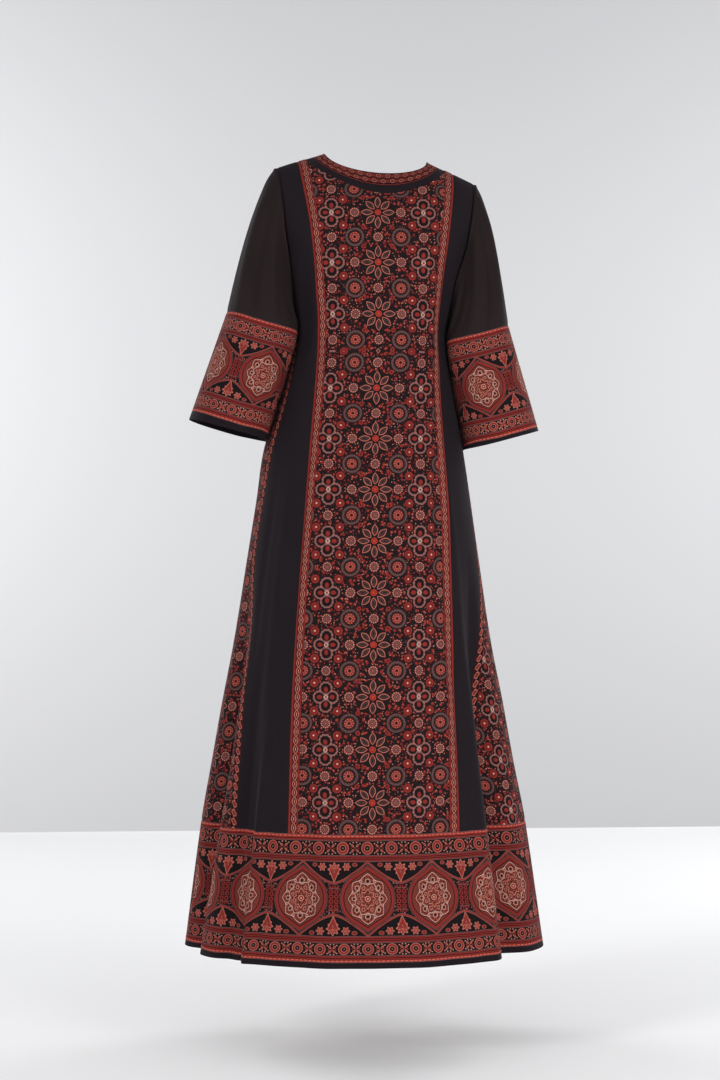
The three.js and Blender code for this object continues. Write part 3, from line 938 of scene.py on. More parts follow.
def feed(tree, value, socket):
    """Gives a node's input a field, a socket or a constant."""
    if isinstance(value, Field):
        tree.links.new(value.socket, socket)
    elif isinstance(value, bpy.types.NodeSocket):
        tree.links.new(value, socket)
    elif isinstance(value, tuple):
        socket.default_value = (*value, 1)
    else:
        socket.default_value = value


def least(a, b):
    return a.apply("MINIMUM", b)


def most(a, b):
    return a.apply("MAXIMUM", b)


def fold(value, half):
    """The value folded to and fro between 0 and half."""
    return value.apply("PINGPONG", half)


def repeat(value, period):
    """The value wrapped to within half a period of 0."""
    return (value + period / 2).apply("FLOORED_MODULO", period) - period / 2


def distance(x, y):
    return (x * x + y * y).apply("SQRT")


def turn_of(y, x):
    return y.apply("ARCTAN2", x)


def sine(value):
    return value.apply("SINE")


def cosine(value):
    return value.apply("COSINE")


def below(value, limit, edge=0.6):
    """1 where the value is under the limit and 0 over it, with a soft edge."""
    return value.apply("MULTIPLY_ADD", -1 / edge, limit / edge + 0.5, clamp=True)


def above(value, limit, edge=0.6):
    return value.apply("MULTIPLY_ADD", 1 / edge, 0.5 - limit / edge, clamp=True)


def near(value, place, width, edge=0.6):
    """1 where the value is within half a width of a place."""
    return below(abs(value - place), width / 2, edge)


def petals(radius, angle, count):
    """Distances along and across the nearest of count petals, for angles in a quarter turn."""
    away = fold(angle, math.pi / count)
    return radius * cosine(away), radius * sine(away)


# The look that all the cloth shares: its gloss and sheen, its weave, and the sizes and strengths
# of uneven dye, flecks and thicker threads
SPECULAR = 0.08
SHEEN_ROUGHNESS = 0.45
SHEEN_TINT = (0.75, 0.7, 0.74, 1)
THREAD = 0.9
WEAVE_HEIGHT = 0.5
WEAR_SIZE = 35
FLECK_SIZE = 1.1
FLECK_FADE = 0.3
SLUB_SIZE = 2.2
SLUB_HEIGHT = 2.0
BUMP_STRENGTH = 0.45
BUMP_DISTANCE = 0.12
NOISE_SHIFT = (7.3, 1.9, 0)
SHEER_ALPHA = 0.975


class Painting:
    """A cloth material whose colour is laid on in layers over a ground."""

    def __init__(self, name, ground):
        self.material = bpy.data.materials.new(name)
        self.material.use_nodes = True
        self.tree = self.material.node_tree
        self.shader = self.tree.nodes["Principled BSDF"]
        self.place, self.u, self.v = self.read_map("cloth")
        self.plain = (self.u, self.v)
        self.colour = ground

    def node(self, kind, **settings):
        node = self.tree.nodes.new("ShaderNode" + kind)
        for name, value in settings.items():
            setattr(node, name, value)
        return node

    def read_map(self, name):
        """One of the mesh's maps: its socket, and its two numbers in millimetres."""
        uv = self.node("UVMap", uv_map=name)
        parts = self.node("SeparateXYZ")
        self.tree.links.new(uv.outputs[0], parts.inputs[0])
        u, v = (Field(self.tree, socket) * (1 / MM) for socket in parts.outputs[:2])
        return uv.outputs[0], u, v

    def noise(self, size, detail=2.0, vector=None):
        """Soft noise from 0 to 1, whose patches are about size millimetres across."""
        node = self.node("TexNoise")
        node.inputs["Scale"].default_value = 1 / (size * MM)
        node.inputs["Detail"].default_value = detail
        self.tree.links.new(vector or self.place, node.inputs["Vector"])
        return Field(self.tree, node.outputs[0])

    def cells(self, size, feature="F1", shift=0.0):
        """Scattered cells about size millimetres across: the distance in sizes, and two numbers
        that each cell has for its own."""
        node = self.node("TexVoronoi", voronoi_dimensions="2D", feature=feature)
        node.inputs["Scale"].default_value = 1.0
        join = self.node("CombineXYZ")
        feed(self.tree, self.u / size + shift, join.inputs[0])
        feed(self.tree, self.v / size, join.inputs[1])
        self.tree.links.new(join.outputs[0], node.inputs["Vector"])
        reach = Field(self.tree, node.outputs["Distance"])
        if feature != "F1":
            return reach
        parts = self.node("SeparateColor")
        self.tree.links.new(node.outputs["Color"], parts.inputs[0])
        return reach, Field(self.tree, parts.outputs[0]), Field(self.tree, parts.outputs[1])

    def shake(self, size, reach):
        """Moves what is painted from here on to and fro a little, as hand printing does."""
        self.u = self.u + (self.noise(size) - 0.5) * (2 * reach)
        shifted = self.node("VectorMath", operation="ADD")
        shifted.inputs[1].default_value = NOISE_SHIFT
        self.tree.links.new(self.place, shifted.inputs[0])
        self.v = self.v + (self.noise(size, vector=shifted.outputs[0]) - 0.5) * (2 * reach)

    def paint(self, mask, colour, strength=1.0):
        node = self.node("Mix", data_type="RGBA")
        feed(self.tree, mask if strength == 1.0 else mask * strength, node.inputs[0])
        feed(self.tree, self.colour, node.inputs[6])
        feed(self.tree, colour, node.inputs[7])
        self.colour = node.outputs[2]

    def discs(self, value, *layers, within=None):
        """Paints colours where the value is under their limits."""
        for limit, *look in layers:
            mask = below(value, limit)
            self.paint(mask if within is None else within * mask, *look)

    def lines(self, value, *layers, within=None):
        """Paints colours within half their widths of places."""
        for place, width, *look in layers:
            mask = near(value, place, width)
            self.paint(mask if within is None else within * mask, *look)

    def finish(self, roughness=0.85, sheen=0.05, fade=0.3):
        """Uneven dye, the weave and the shader's own values."""
        wear = self.noise(WEAR_SIZE, 3.0) * fade + (1 - fade / 2)
        fleck = self.noise(FLECK_SIZE, 1.0) * FLECK_FADE + (1 - FLECK_FADE / 2)
        grey = self.node("CombineColor")
        shade = wear * fleck
        for socket in grey.inputs[:3]:
            feed(self.tree, shade, socket)
        dyed = self.node("Mix", data_type="RGBA", blend_type="MULTIPLY")
        dyed.inputs[0].default_value = 1.0
        feed(self.tree, self.colour, dyed.inputs[6])
        feed(self.tree, grey.outputs[0], dyed.inputs[7])
        self.tree.links.new(dyed.outputs[2], self.shader.inputs["Base Color"])
        u, v = (sine(place * (2 * math.pi / THREAD)) for place in self.plain)
        bump = self.node("Bump")
        bump.inputs["Strength"].default_value = BUMP_STRENGTH
        bump.inputs["Distance"].default_value = BUMP_DISTANCE * MM
        height = u * v * WEAVE_HEIGHT + self.noise(SLUB_SIZE, 2.0) * SLUB_HEIGHT
        feed(self.tree, height, bump.inputs["Height"])
        self.tree.links.new(bump.outputs[0], self.shader.inputs["Normal"])
        values = {
            "Roughness": roughness,
            "Specular IOR Level": SPECULAR,
            "Sheen Weight": sheen,
            "Sheen Roughness": SHEEN_ROUGHNESS,
            "Sheen Tint": SHEEN_TINT,
        }
        for name, value in values.items():
            self.shader.inputs[name].default_value = value
        return self.material


# Block print: half the width and half the height of its repeat, the row where the first
# flowers lie, and where a second printing joins on and its own first row
CELL_HALF_WIDTH = 80.0
CELL_HALF_HEIGHT = 44.25
FIRST_ROW = 56.5
JOIN_ROW = 209.0
SECOND_ROW = 273.0

# The strip of scrolls along a gore's seams, the links of the trims' chain, and the neck's scrolls
STRIP_WIDTH = 13.0
SCROLL_PITCH = 15.0
CHAIN_LINK = 14.6
NECK_PITCH = 16.0

# In the paint functions x and y are millimetres from a motif's middle, before the border's print
# is made smaller for the cuffs. Layers are laid on in their order: a disc is how far it reaches
# and its colour, and a line is its place, its width and its colour, each with a strength where
# the colour doesn't cover.


def scatter_seeds(art):
    """Many small red and pink seeds over the ground."""
    reach, red, pink = art.cells(7.6)
    art.paint(below(reach - red * 0.26, 0.12, 0.1), RED)
    art.paint(below(reach, 0.08, 0.08) * above(pink, 0.45, 0.1), ROSE)
    reach, red, pink = art.cells(5.1, shift=17.0)
    art.paint(below(reach, 0.17, 0.1) * above(red, 0.5, 0.1), RED)
    art.paint(below(reach, 0.15, 0.1) * above(pink, 0.7, 0.1), PINK)


def paint_flower(art, x, y):
    """A flower of eight pointed petals with its middle at 0, 0."""
    petal_middle, petal_half, petal_width = 18.6, 10.6, 5.5
    radius = distance(x, y)
    along, across = petals(radius, turn_of(y, x), 8)
    offset = (along - petal_middle) / petal_half
    inside = petal_width - offset * offset * petal_width - across
    art.discs(radius, (29.5, GROUND))
    for depth, colour in ((0.0, ROSE), (1.6, DARK), (3.2, BROWN), (4.5, DARK)):
        art.paint(above(inside, depth), colour)
    art.discs(radius, (5.6, BRIGHT_RED))
    art.lines(radius, (3.4, 0.9, MAROON))


def paint_quatrefoil(art, x, y):
    """A scalloped outline of four lobes round four red drops and a white diamond."""
    edge = least(distance(x - 11.5, y) - 11.0, distance(x, y - 15.0) - 11.5)
    angle = turn_of(y, x)
    scalloped = edge + sine(angle * 30.0) * 0.6
    drops = least(distance((x - 11.0) * 0.8, y), distance(x, (y - 12.8) * 0.78)) - 4.2
    art.discs(edge, (2.6, GROUND))
    art.lines(scalloped, (-1.5, 3.2, MAUVE))
    art.lines(scalloped, (-1.0, 1.3, ROSE), within=above(sine(angle * 60.0), -0.3, 0.5))
    art.discs(edge, (-3.4, DARK))
    art.discs(drops, (0.0, MAROON), (-0.8, RED))
    art.lines(x + y, (3.7, 1.3, CREAM))


def paint_roundel(art, x, y):
    """A grey-brown ring with teeth round a red wheel."""
    radius, angle = distance(x, y), turn_of(y, x)
    tooth, beside_tooth = petals(radius, angle, 14)
    spoke, beside = petals(radius, angle, 10)
    wheel = radius + cosine(angle * 10.0) * 1.1
    art.discs(radius, (18.2, GROUND))
    art.lines(radius, (13.9, 4.9, BROWN), (14.6, 0.8, MAUVE, 0.6))
    art.discs(distance((tooth - 11.0) * 0.6, beside_tooth), (1.0, DARK))
    art.discs(wheel, (8.4, RED))
    art.discs(distance((spoke - 7.2) * 0.7, beside), (0.95, ROSE))
    art.lines(wheel, (5.4, 0.8, MAROON))
    art.discs(distance((spoke - 3.9) * 0.8, beside), (0.8, ROSE))
    art.discs(radius, (2.1, DARK))


def paint_rosettes(art, x, y, far_x, far_y):
    """Small rosettes with beaded edges at two opposite corners of the cell."""
    first, second = distance(x, y), distance(far_x, far_y)
    radius = least(first, second)
    choice = above(first - second, 0.0, 0.1)
    angle = turn_of(y, x) * (1 - choice) + turn_of(far_y, far_x) * choice
    along, across = petals(radius, angle, 12)
    art.discs(radius, (10.0, GROUND))
    art.discs(distance(along - 7.0, across), (1.5, ROSE), (0.6, CREAM, 0.5))
    art.discs(radius, (5.5, MAROON))
    art.discs(distance(along - 3.7, across), (1.0, MAUVE))
    art.discs(radius, (1.9, ROSE, 0.6))


def paint_dots(art, x, y):
    """Red dots with a white middle."""
    radius = distance(x, y)
    art.discs(radius, (8.8, GROUND), (7.4, RED))
    art.lines(radius, (4.3, 0.8, MAROON))
    art.discs(radius, (1.35, CREAM))


def paint_buds(art, x, y):
    """Fixed small seeds round the flower."""
    art.discs(distance(x - 25.0, y - 27.5), (4.0, RED), (1.3, DARK))
    small = least(distance(x - 11.5, y - 27.0), distance(x - 24.5, y - 11.5))
    art.discs(small, (2.2, BRIGHT_RED))


def paint_blocks(art, row):
    """The all-over print, whose flowers lie where the row is a multiple of its height."""
    x = fold(art.u, CELL_HALF_WIDTH)
    y = fold(row, CELL_HALF_HEIGHT)
    middle = abs(x - CELL_HALF_WIDTH / 2)
    far_y = CELL_HALF_HEIGHT - y
    scatter_seeds(art)
    paint_buds(art, x, y)
    paint_rosettes(art, middle, y, CELL_HALF_WIDTH / 2 - middle, far_y)
    paint_roundel(art, middle, far_y)
    paint_dots(art, x - 59.5, y - 23.5)
    paint_flower(art, x, y)
    paint_quatrefoil(art, CELL_HALF_WIDTH - x, y)


def block_print():
    """The print of the centre panels, where a second printing joins on below the waist."""
    art = Painting("block_print", GROUND)
    art.shake(22, 1.3)
    second = above(art.v, JOIN_ROW, 0.2)
    paint_blocks(art, art.v - FIRST_ROW - second * (SECOND_ROW - FIRST_ROW))
    return art.finish()


def gore_print():
    """The all-over print with a strip of scrolls along the seams beside the plain panels."""
    art = Painting("gore_print", GROUND)
    art.shake(22, 1.3)
    paint_blocks(art, art.v - FIRST_ROW)
    seam = art.read_map("seam")[1]
    x, y = seam - STRIP_WIDTH / 2, repeat(art.v, SCROLL_PITCH)
    scroll = distance(x + sine(art.v * (2 * math.pi / SCROLL_PITCH)) * 1.5, y * 0.62)
    strip = below(seam, STRIP_WIDTH)
    art.paint(strip, DARK)
    art.lines(scroll, (3.4, 1.4, ROSE), within=strip)
    art.discs(scroll, (2.2, RED), within=strip)
    art.lines(seam, (1.2, 1.4, MAROON), within=strip)
    art.lines(seam, (STRIP_WIDTH, 1.0, MAROON))
    return art.finish()


def paint_chain(art, x, along, link):
    """Two lines that cross again and again into a chain of links."""
    swing = abs(sine(along * (math.pi / link))) ** 0.7
    side = abs(x)
    art.discs(side, (5.2, DEEP_RED))
    art.discs(abs(side - swing * 3.6), (0.85, ROSE))
    art.discs(side, (0.6, PINK), within=above(swing, 0.85, 0.1))
    art.lines(side, (4.6, 0.7, RED), within=below(swing, 0.6, 0.2))


def trim_print():
    """The long strips beside the centre panels: a red line, a chain and a thin red line."""
    art = Painting("trim_print", MAROON)
    art.shake(18, 0.6)
    art.lines(art.u, (2.3, 3.4, RED), (4.5, 0.7, DARK))
    paint_chain(art, art.u - 9.9, art.v, CHAIN_LINK)
    art.lines(art.u, (15.9, 1.4, RED))
    return art.finish()


def neck_print():
    """The printed neck band: two rows of scrolls and leaves with red lines."""
    art = Painting("neck_print", DARK)
    art.shake(14, 0.9)
    for place, shift in ((5.2, 0.0), (14.0, NECK_PITCH / 2)):
        x, y = abs(repeat(art.u + shift, NECK_PITCH)), abs(art.v - place)
        scroll = distance(x * 0.7, y)
        art.lines(scroll, (2.6, 0.9, ROSE))
        art.discs(scroll, (1.3, RED))
        art.discs(distance((x - 6.0) * 0.7, y - 1.7), (1.0, RED))
        art.discs(distance(x - 8.0, y), (0.7, ROSE))
    art.lines(art.v, (9.6, 0.7, RED, 0.7))
    art.paint(above(art.v, 19.0), RED, 0.8)
    return art.finish()


# Heights of the bands of a border print, down from its top edge, and the pitch of its
# medallions and of the roundels above and below them
HEM_BANDS = {
    "first_row": (10.5, 34.5),
    "medallions": (44.5, 168.0),
    "second_row": (178.5, 199.5),
    "plain": 211.5,
    "pitch": 114.0,
    "roundels": (43.0, 38.5),
}
CUFF_BANDS = {
    "first_row": (11.5, 31.5),
    "medallions": (39.5, 146.0),
    "second_row": (154.5, 173.0),
    "plain": 185.0,
    "pitch": 96.0,
    "roundels": (32.0, 32.0),
}

# The height of the medallions' band that their sizes below are for, how far in from the print's
# edges its bright lines and their thread lie, and how much of its row's height a roundel takes
FULL_BAND = 123.5
THREAD_ROW = 3.0
ROUNDEL_SHARE = 0.88


def paint_stripe(art, top, foot, bright=None):
    """A red stripe of fine lines between pale ones, with a bright line where it has one."""
    width = foot - top
    art.lines(art.v, ((top + foot) / 2, width, MAROON))
    for share, part in ((0.2, 0.16), (0.5, 0.12), (0.8, 0.16)):
        art.lines(art.v, (mix(top, foot, share), width * part, RED))
    for share in (0.35, 0.65):
        art.lines(art.v, (mix(top, foot, share), 0.8, DARK, 0.8))
    if bright is not None:
        art.lines(art.v, (bright, 3.4, BRIGHT_RED, 0.9))
    art.lines(art.v, (top, 0.8, MAUVE), (foot, 0.8, MAUVE))


def paint_roundel_row(art, band, pitch):
    """Ringed roundels with crosses of leaves between them."""
    top, foot = band
    size = (foot - top) / 2 * ROUNDEL_SHARE
    x, y = abs(repeat(art.u, pitch)), abs(art.v - (top + foot) / 2)
    radius = distance(x, y)
    cross_x = abs(pitch / 2 - x)
    along, across = (cross_x + y) * 0.707, (cross_x - y) * 0.707
    seed = distance(cross_x - size * 0.28, y - size * 0.9)
    tip = distance(cross_x - size * 0.82, y - size * 0.72)
    art.discs(distance((along - size * 0.56) * 0.55, across), (1.7, ROSE), (0.9, RED))
    art.discs(distance(cross_x, y), (1.6, RED))
    art.discs(least(seed, tip), (1.0, PINK))
    art.discs(distance(cross_x - size * 0.62, y), (1.2, RED))
    art.discs(radius, (size, ROSE), (size - 1.0, RED))
    art.lines(radius, (size * 0.62, 0.7, MAROON), (size * 0.5, 1.0, ROSE))
    art.discs(radius, (size * 0.42, DARK))
    art.discs(distance(x + y, x - y), (size * 0.2, MAUVE))


def paint_star(art, x, y, size, points):
    """A small star flower."""
    edge = distance(x, y) - cosine(turn_of(y, x) * float(points)) * (size * 0.22)
    art.discs(edge, (size, ROSE), (size * 0.72, RED), (size * 0.36, ROSE, 0.8))


def paint_halo(art, x, y, flecks):
    """The band of leaves that runs from medallion to medallion, and what it encloses."""
    rise = most(1 - x / 56.0, 0.0)
    halo = y - rise**1.4 * 35.0 - 28.0
    art.discs(halo, (0.0, ROSE, 0.7), (-0.8, RED), (-3.4, MAUVE), (-4.1, DARK))
    reach, red, pale = flecks
    inside = below(halo, -4.6)
    art.paint(inside * below(reach, 0.42, 0.1) * above(red, 0.4, 0.1), DEEP_RED)
    art.paint(inside * below(reach, 0.21, 0.1), MAUVE)
    art.paint(inside * below(reach, 0.15, 0.1) * above(pale, 0.6, 0.1), PINK, 0.7)


def paint_medallion(art, x, y, flecks):
    """A round medallion with pointed ends: rings round a field of curls and lobes."""
    radius, angle = distance(x, y), turn_of(y, x)
    edge = radius * cosine(most(angle - 1.04, 0.0) * 1.08)
    art.discs(edge, (47.5, DARK), (46.5, MAUVE), (45.8, MAROON), (44.6, RED))
    art.discs(edge, (40.6, DARK), (39.8, MAROON))
    art.discs(edge, (39.0, RUST), within=above(flecks, 0.13, 0.08))
    art.discs(edge, (38.6, ROSE, 0.5), within=near(flecks, 0.12, 0.07, 0.05))
    long_radius = distance(x, y * 0.79)
    away = fold(angle, math.pi / 8) * (8 / math.pi)
    star = long_radius + away * 6.0
    art.discs(star, (35.0, DARK, 0.8), (33.6, LIGHT_RUST))
    art.discs(star, (31.4, DARK, 0.9), within=below(flecks, 0.13, 0.06))
    art.discs(star, (31.0, ROSE, 0.5), within=near(flecks, 0.24, 0.06, 0.05))
    art.lines(star, (32.8, 0.9, CREAM, 0.72))
    art.lines(long_radius - away * 5.0, (17.8, 0.9, CREAM, 0.8))
    art.lines(long_radius + away * 4.0, (12.8, 1.0, PINK))
    lobe_x, lobe_y = petals(long_radius, angle, 8)
    lobe = distance(lobe_x - 23.0, lobe_y)
    art.lines(lobe, (3.2, 0.8, CREAM, 0.7))
    art.discs(lobe, (1.4, DARK))
    curl_x, curl_y = petals(long_radius, angle + math.pi / 8, 8)
    art.lines(distance(curl_x - 26.0, curl_y), (1.8, 0.8, CREAM, 0.7))
    art.lines(distance(curl_x - 15.5, curl_y), (2.2, 0.8, PINK, 0.8))
    art.discs(radius, (5.2, RED))
    art.lines(radius, (4.4, 0.8, CREAM, 0.8))
    art.discs(radius, (1.6, PINK))


def paint_link(art, x, y):
    """The linked ornament between two medallions, with its middle at 0, 0."""
    link = below(x, 9.4) * below(y, 22.0)
    spot = distance(fold(x, 8.8) - 4.4, fold(y, 8.2) - 4.1)
    art.paint(link, DEEP_RED)
    art.discs(spot, (3.6, RED), (1.7, DARK), within=link)
    art.lines(y, (17.5, 0.8, MAUVE), within=link)


def paint_palmettes(art, x, y):
    """A palmette whose leaf points at the link, with a star flower and a bud beside it."""
    stem = x - (y - 28.0) * 0.42
    paint_star(art, x, y - 49.0, 9.4, 8)
    art.discs(stem, (0.6, ROSE), (-0.7, RED), within=below(y, 49.0))
    art.discs(distance(x, (y - 45.0) * 0.6), (1.6, MAUVE, 0.8))
    paint_star(art, x - 21.0, y - 53.0, 6.0, 6)
    bud = distance((x - 35.0) * 0.75, y - 56.4)
    art.discs(bud, (3.4, ROSE, 0.6), (2.7, RED), (1.0, MAROON))


def border_print(name, bands):
    """The print of the hem border and, smaller, of the cuffs."""
    art = Painting(name, DARK)
    art.shake(26, 0.8)
    top, foot = bands["medallions"]
    size = (foot - top) / FULL_BAND
    half = bands["pitch"] / 2 / size
    x = fold(art.u / size, half)
    y = abs(art.v - (top + foot) / 2) / size
    paint_palmettes(art, half - x, y)
    paint_halo(art, x, y, art.cells(5.0))
    paint_link(art, half - x, y)
    paint_medallion(art, x, y, art.cells(4.8, "DISTANCE_TO_EDGE"))
    art.paint(1 - near(art.v, (top + foot) / 2, foot - top), DARK)
    rows = bands["first_row"], bands["second_row"]
    for row, pitch in zip(rows, bands["roundels"]):
        before = art.colour
        paint_roundel_row(art, row, pitch)
        layer, art.colour = art.colour, before
        art.lines(art.v, ((row[0] + row[1]) / 2, row[1] - row[0], layer))
    plain = bands["plain"]
    paint_stripe(art, 0.6, rows[0][0], bright=THREAD_ROW)
    paint_stripe(art, rows[0][1], top)
    paint_stripe(art, foot, rows[1][0])
    paint_stripe(art, rows[1][1], plain - 0.8, bright=plain - THREAD_ROW)
    art.paint(above(art.v, plain), BLACK)
    return art.finish()


def plain_cloth(name, ground, patches, size, sheen):
    """Black cloth with patches of a slightly different dye."""
    art = Painting(name, ground)
    art.paint(art.noise(size, 3.0), patches, 0.8)
    return art.finish(roughness=0.8, sheen=sheen, fade=0.14)


def sheer_cloth():
    """Fine black cloth that lets a little light through."""
    material = plain_cloth("sheer_cloth", SHEER_BLACK, SHEER_BROWN, 80, 0.05)
    material.node_tree.nodes["Principled BSDF"].inputs["Alpha"].default_value = SHEER_ALPHA
    return material


def thread(name, colour):
    return Painting(name, colour).finish(roughness=0.7)


SIDE_SHARES = seam_shares(SIDE_COLUMNS, SIDE_WIDTH)
CENTRE_SHARES = seam_shares(CENTRE_COLUMNS, CENTRE_WIDTH)

# Where the prints lie on their pieces, and rows of thread from a piece's top or foot
PRINT_OFFSET = 5.0
BORDER_OFFSET = 9.0
CUFF_GIRTH = 480.0
CUFF_OFFSETS = {"left": -50.0, "right": -40.0}
HEM_STITCH_ROW = -3.0
NECK_STITCH_ROW = 1.6


def make_centre(place, side, looks):
    left, right = trim_inner(side, "left"), trim_inner(side, "right")
    grid = panel(side, left, right, CENTRE_SHARES, band_edge(side))
    cloth_map = panel_map(grid, ROUND_ROWS, PRINT_OFFSET)
    dress(f"{place}_centre_panel", grid, ALL_SEAMS, cloth_map, looks["print"])


def make_hem(place, side, looks):
    grid = border_spots(side)
    name = f"hem_border_{place}"
    dress(name, grid, ("top",), band_map(grid, BORDER_OFFSET), looks["border"])
    sew_border(name, grid, HEM_BANDS, looks, False)


def make_sides(place, side, looks):
    """The trims and the plain panels outside them."""
    for hand in HANDS:
        outer = trim_outer(side, hand)
        grid = panel(side, outer, trim_inner(side, hand), even(TRIM_COLUMNS))
        name = f"{place}_trim_{hand}"
        dress(name, grid, ALL_SEAMS, strip_map(grid), looks["trim"])
        grid = panel(side, outer, side_seam(side, hand), SIDE_SHARES)
        cloth_map = panel_map(grid, ROUND_ROWS, 0)
        dress(f"{place}_side_{hand}", grid, ALL_SEAMS, cloth_map, looks["black"])


def sew_border(name, grid, bands, looks, closed):
    """The rows of thread along a border's bright lines and along its hem."""
    rows = {"upper": THREAD_ROW, "lower": bands["plain"] - THREAD_ROW}
    for row, away in rows.items():
        thread_name = f"{name}_{row}_thread"
        stitches(thread_name, grid, away, LONG_STITCH, looks["pale_thread"], closed)
    hem = f"{name}_hem_thread"
    stitches(hem, grid, HEM_STITCH_ROW, FINE_STITCH, looks["black_thread"], closed)


def make_neck(place, side, looks):
    grid = neck_spots(side, 0, PRINTED_SHARE, NECK_BAND_ROWS, CENTRE_SHARES)
    name = f"neck_band_{place}"
    dress(name, grid, ("start", "end", "foot"), neck_map(grid), looks["neck"])
    stitches(f"{name}_thread", grid, NECK_STITCH_ROW, FINE_STITCH, looks["red_thread"])
    grid = neck_spots(side, PRINTED_SHARE, 1, PLAIN_BAND_ROWS, CENTRE_SHARES)
    name = f"neck_plain_band_{place}"
    dress(name, grid, ALL_SEAMS, band_map(grid, 0), looks["black"])


def make_gores(looks):
    for hand in HANDS:
        grid = gore_spots(hand)
        name = f"gore_{hand}"
        piece = dress(name, grid, ALL_SEAMS, panel_map(grid, 0, 0), looks["gore"])
        add_seam_map(piece, grid)


def make_sleeves(looks):
    for hand in HANDS:
        sleeve, cuff = sleeve_spots(hand)
        seams = ("top", "foot")
        cloth_map = tube_map(sleeve, None)
        dress(f"sleeve_{hand}", sleeve, seams, cloth_map, looks["sheer"], True)
        name = f"cuff_{hand}"
        cloth_map = tube_map(cuff, CUFF_GIRTH)
        cloth_map[..., 0] += CUFF_OFFSETS[hand] * MM
        dress(name, cuff, ("top",), cloth_map, looks["cuff"], True)
        sew_border(name, cuff, CUFF_BANDS, looks, True)


CAMERA_PLACE = (0.327, 4.288, -0.673)
CAMERA_AIM = (-0.0698, -0.9976, 0.0)
LENS = 81.43
SENSOR = 36.0
FLOOR_Z = -1.554
FLOOR_BACK_Y = -3.13
WALL_Y = -6.6
STAGE_HALF = 9.0
FLOOR_COLOUR = (0.94, 0.94, 0.945)
WALL_COLOUR = (0.63, 0.63, 0.642)
SKY_COLOUR = (0.95, 0.96, 0.98, 1)
SKY_STRENGTH = 0.48
STAGE_ROUGHNESS = 0.9
STAGE_SPECULAR = 0.1

# Each light: its name, place, aim, size across and power
LIGHTS = (
    ("key", (3.3, 3.0, 0.9), (0, 0, -0.7), 1.3, 70),
    ("fill", (-2.6, 3.4, 0.2), (0, 0, -0.8), 2.2, 17),
    ("front", (2.9, -2.4, 1.2), (0, 0, -0.7), 2.0, 26),
    ("wall_left", (2.9, -4.0, 0.2), (2.0, WALL_Y, -0.2), 2.4, 90),
    ("wall_right", (-3.5, -4.0, 0.2), (-2.6, WALL_Y, -0.2), 2.4, 60),
    ("low_right", (-1.7, 2.6, -0.6), (-1.0, -1.0, -1.55), 1.6, 44),
    ("floor_left", (2.4, -1.9, 0.6), (1.0, -1.9, -1.55), 1.6, 15),
    ("floor_right", (-2.4, -1.9, 0.6), (-1.0, -1.9, -1.55), 1.6, 34),
)


def make_camera():
    data = bpy.data.cameras.new("camera")
    data.sensor_fit = "VERTICAL"
    data.sensor_height = SENSOR
    data.lens = LENS
    camera = add_object("camera", data)
    camera.location = CAMERA_PLACE
    camera.rotation_euler = Vector(CAMERA_AIM).to_track_quat("-Z", "Y").to_euler()
    bpy.context.scene.camera = camera


def area_light(name, place, aim, size, power):
    data = bpy.data.lights.new(name, "AREA")
    data.shape = "DISK"
    data.size = size
    data.energy = power
    light = add_object(name, data)
    light.location = place
    light.rotation_euler = (Vector(aim) - Vector(place)).to_track_quat("-Z", "Y").to_euler()


def stage_material(name, colour):
    material = bpy.data.materials.new(name)
    material.use_nodes = True
    shader = material.node_tree.nodes["Principled BSDF"]
    shader.inputs["Base Color"].default_value = (*colour, 1)
    shader.inputs["Roughness"].default_value = STAGE_ROUGHNESS
    shader.inputs["Specular IOR Level"].default_value = STAGE_SPECULAR
    return material


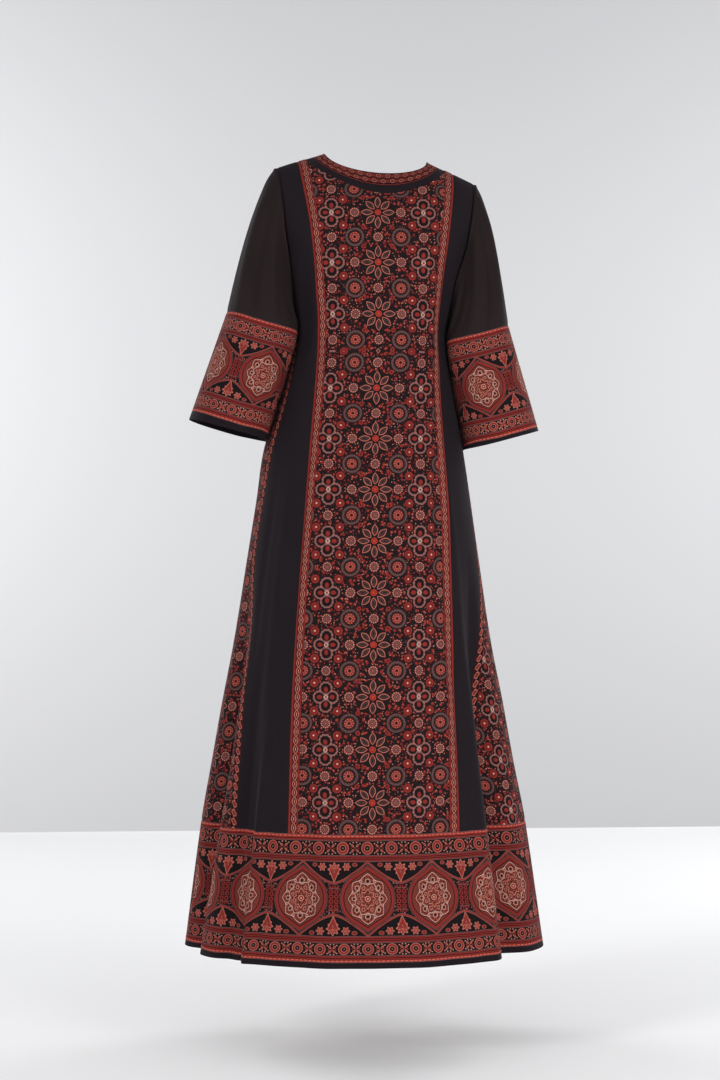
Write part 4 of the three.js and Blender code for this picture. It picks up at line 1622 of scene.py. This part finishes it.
def stage_sheet(name, corners, colour):
    mesh = bpy.data.meshes.new(name)
    mesh.from_pydata(corners, [], [(0, 1, 2, 3)])
    mesh.materials.append(stage_material(name, colour))
    add_object(name, mesh)


def make_stage():
    """A floor, and a wall far enough behind its edge to leave room for views of the front."""
    left, right, low, high = -STAGE_HALF, STAGE_HALF, FLOOR_Z, STAGE_HALF
    back, front = FLOOR_BACK_Y, STAGE_HALF
    floor = [(left, back, low), (right, back, low), (right, front, low), (left, front, low)]
    foot = [(right, WALL_Y, -high), (left, WALL_Y, -high)]
    stage_sheet("floor", floor, FLOOR_COLOUR)
    stage_sheet("wall", [*foot, (left, WALL_Y, high), (right, WALL_Y, high)], WALL_COLOUR)
    world = bpy.data.worlds.new("studio")
    world.use_nodes = True
    background = world.node_tree.nodes["Background"]
    background.inputs["Color"].default_value = SKY_COLOUR
    background.inputs["Strength"].default_value = SKY_STRENGTH
    bpy.context.scene.world = world
    for name, place, aim, size, power in LIGHTS:
        area_light(name, place, aim, size, power)


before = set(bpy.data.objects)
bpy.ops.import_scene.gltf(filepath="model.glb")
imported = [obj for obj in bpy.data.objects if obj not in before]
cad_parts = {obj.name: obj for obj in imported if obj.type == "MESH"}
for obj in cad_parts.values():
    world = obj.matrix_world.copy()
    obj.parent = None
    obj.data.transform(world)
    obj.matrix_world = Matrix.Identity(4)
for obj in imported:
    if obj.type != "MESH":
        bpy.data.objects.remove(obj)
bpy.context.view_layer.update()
make_camera()
make_stage()
looks = {
    "print": block_print(),
    "gore": gore_print(),
    "trim": trim_print(),
    "neck": neck_print(),
    "black": plain_cloth("black_cloth", BLACK, FADED_BLACK, 90, 0.04),
    "sheer": sheer_cloth(),
    "border": border_print("border_print", HEM_BANDS),
    "cuff": border_print("cuff_print", CUFF_BANDS),
    "pale_thread": thread("pale_thread", PINK),
    "red_thread": thread("red_thread", BRIGHT_RED),
    "black_thread": thread("black_thread", BLACK),
}
for place, side in PLACES.items():
    make_centre(place, side, looks)
    make_neck(place, side, looks)
    make_hem(place, side, looks)
    make_sides(place, side, looks)
make_gores(looks)
make_sleeves(looks)
bpy.context.scene.view_settings.view_transform = "Standard"
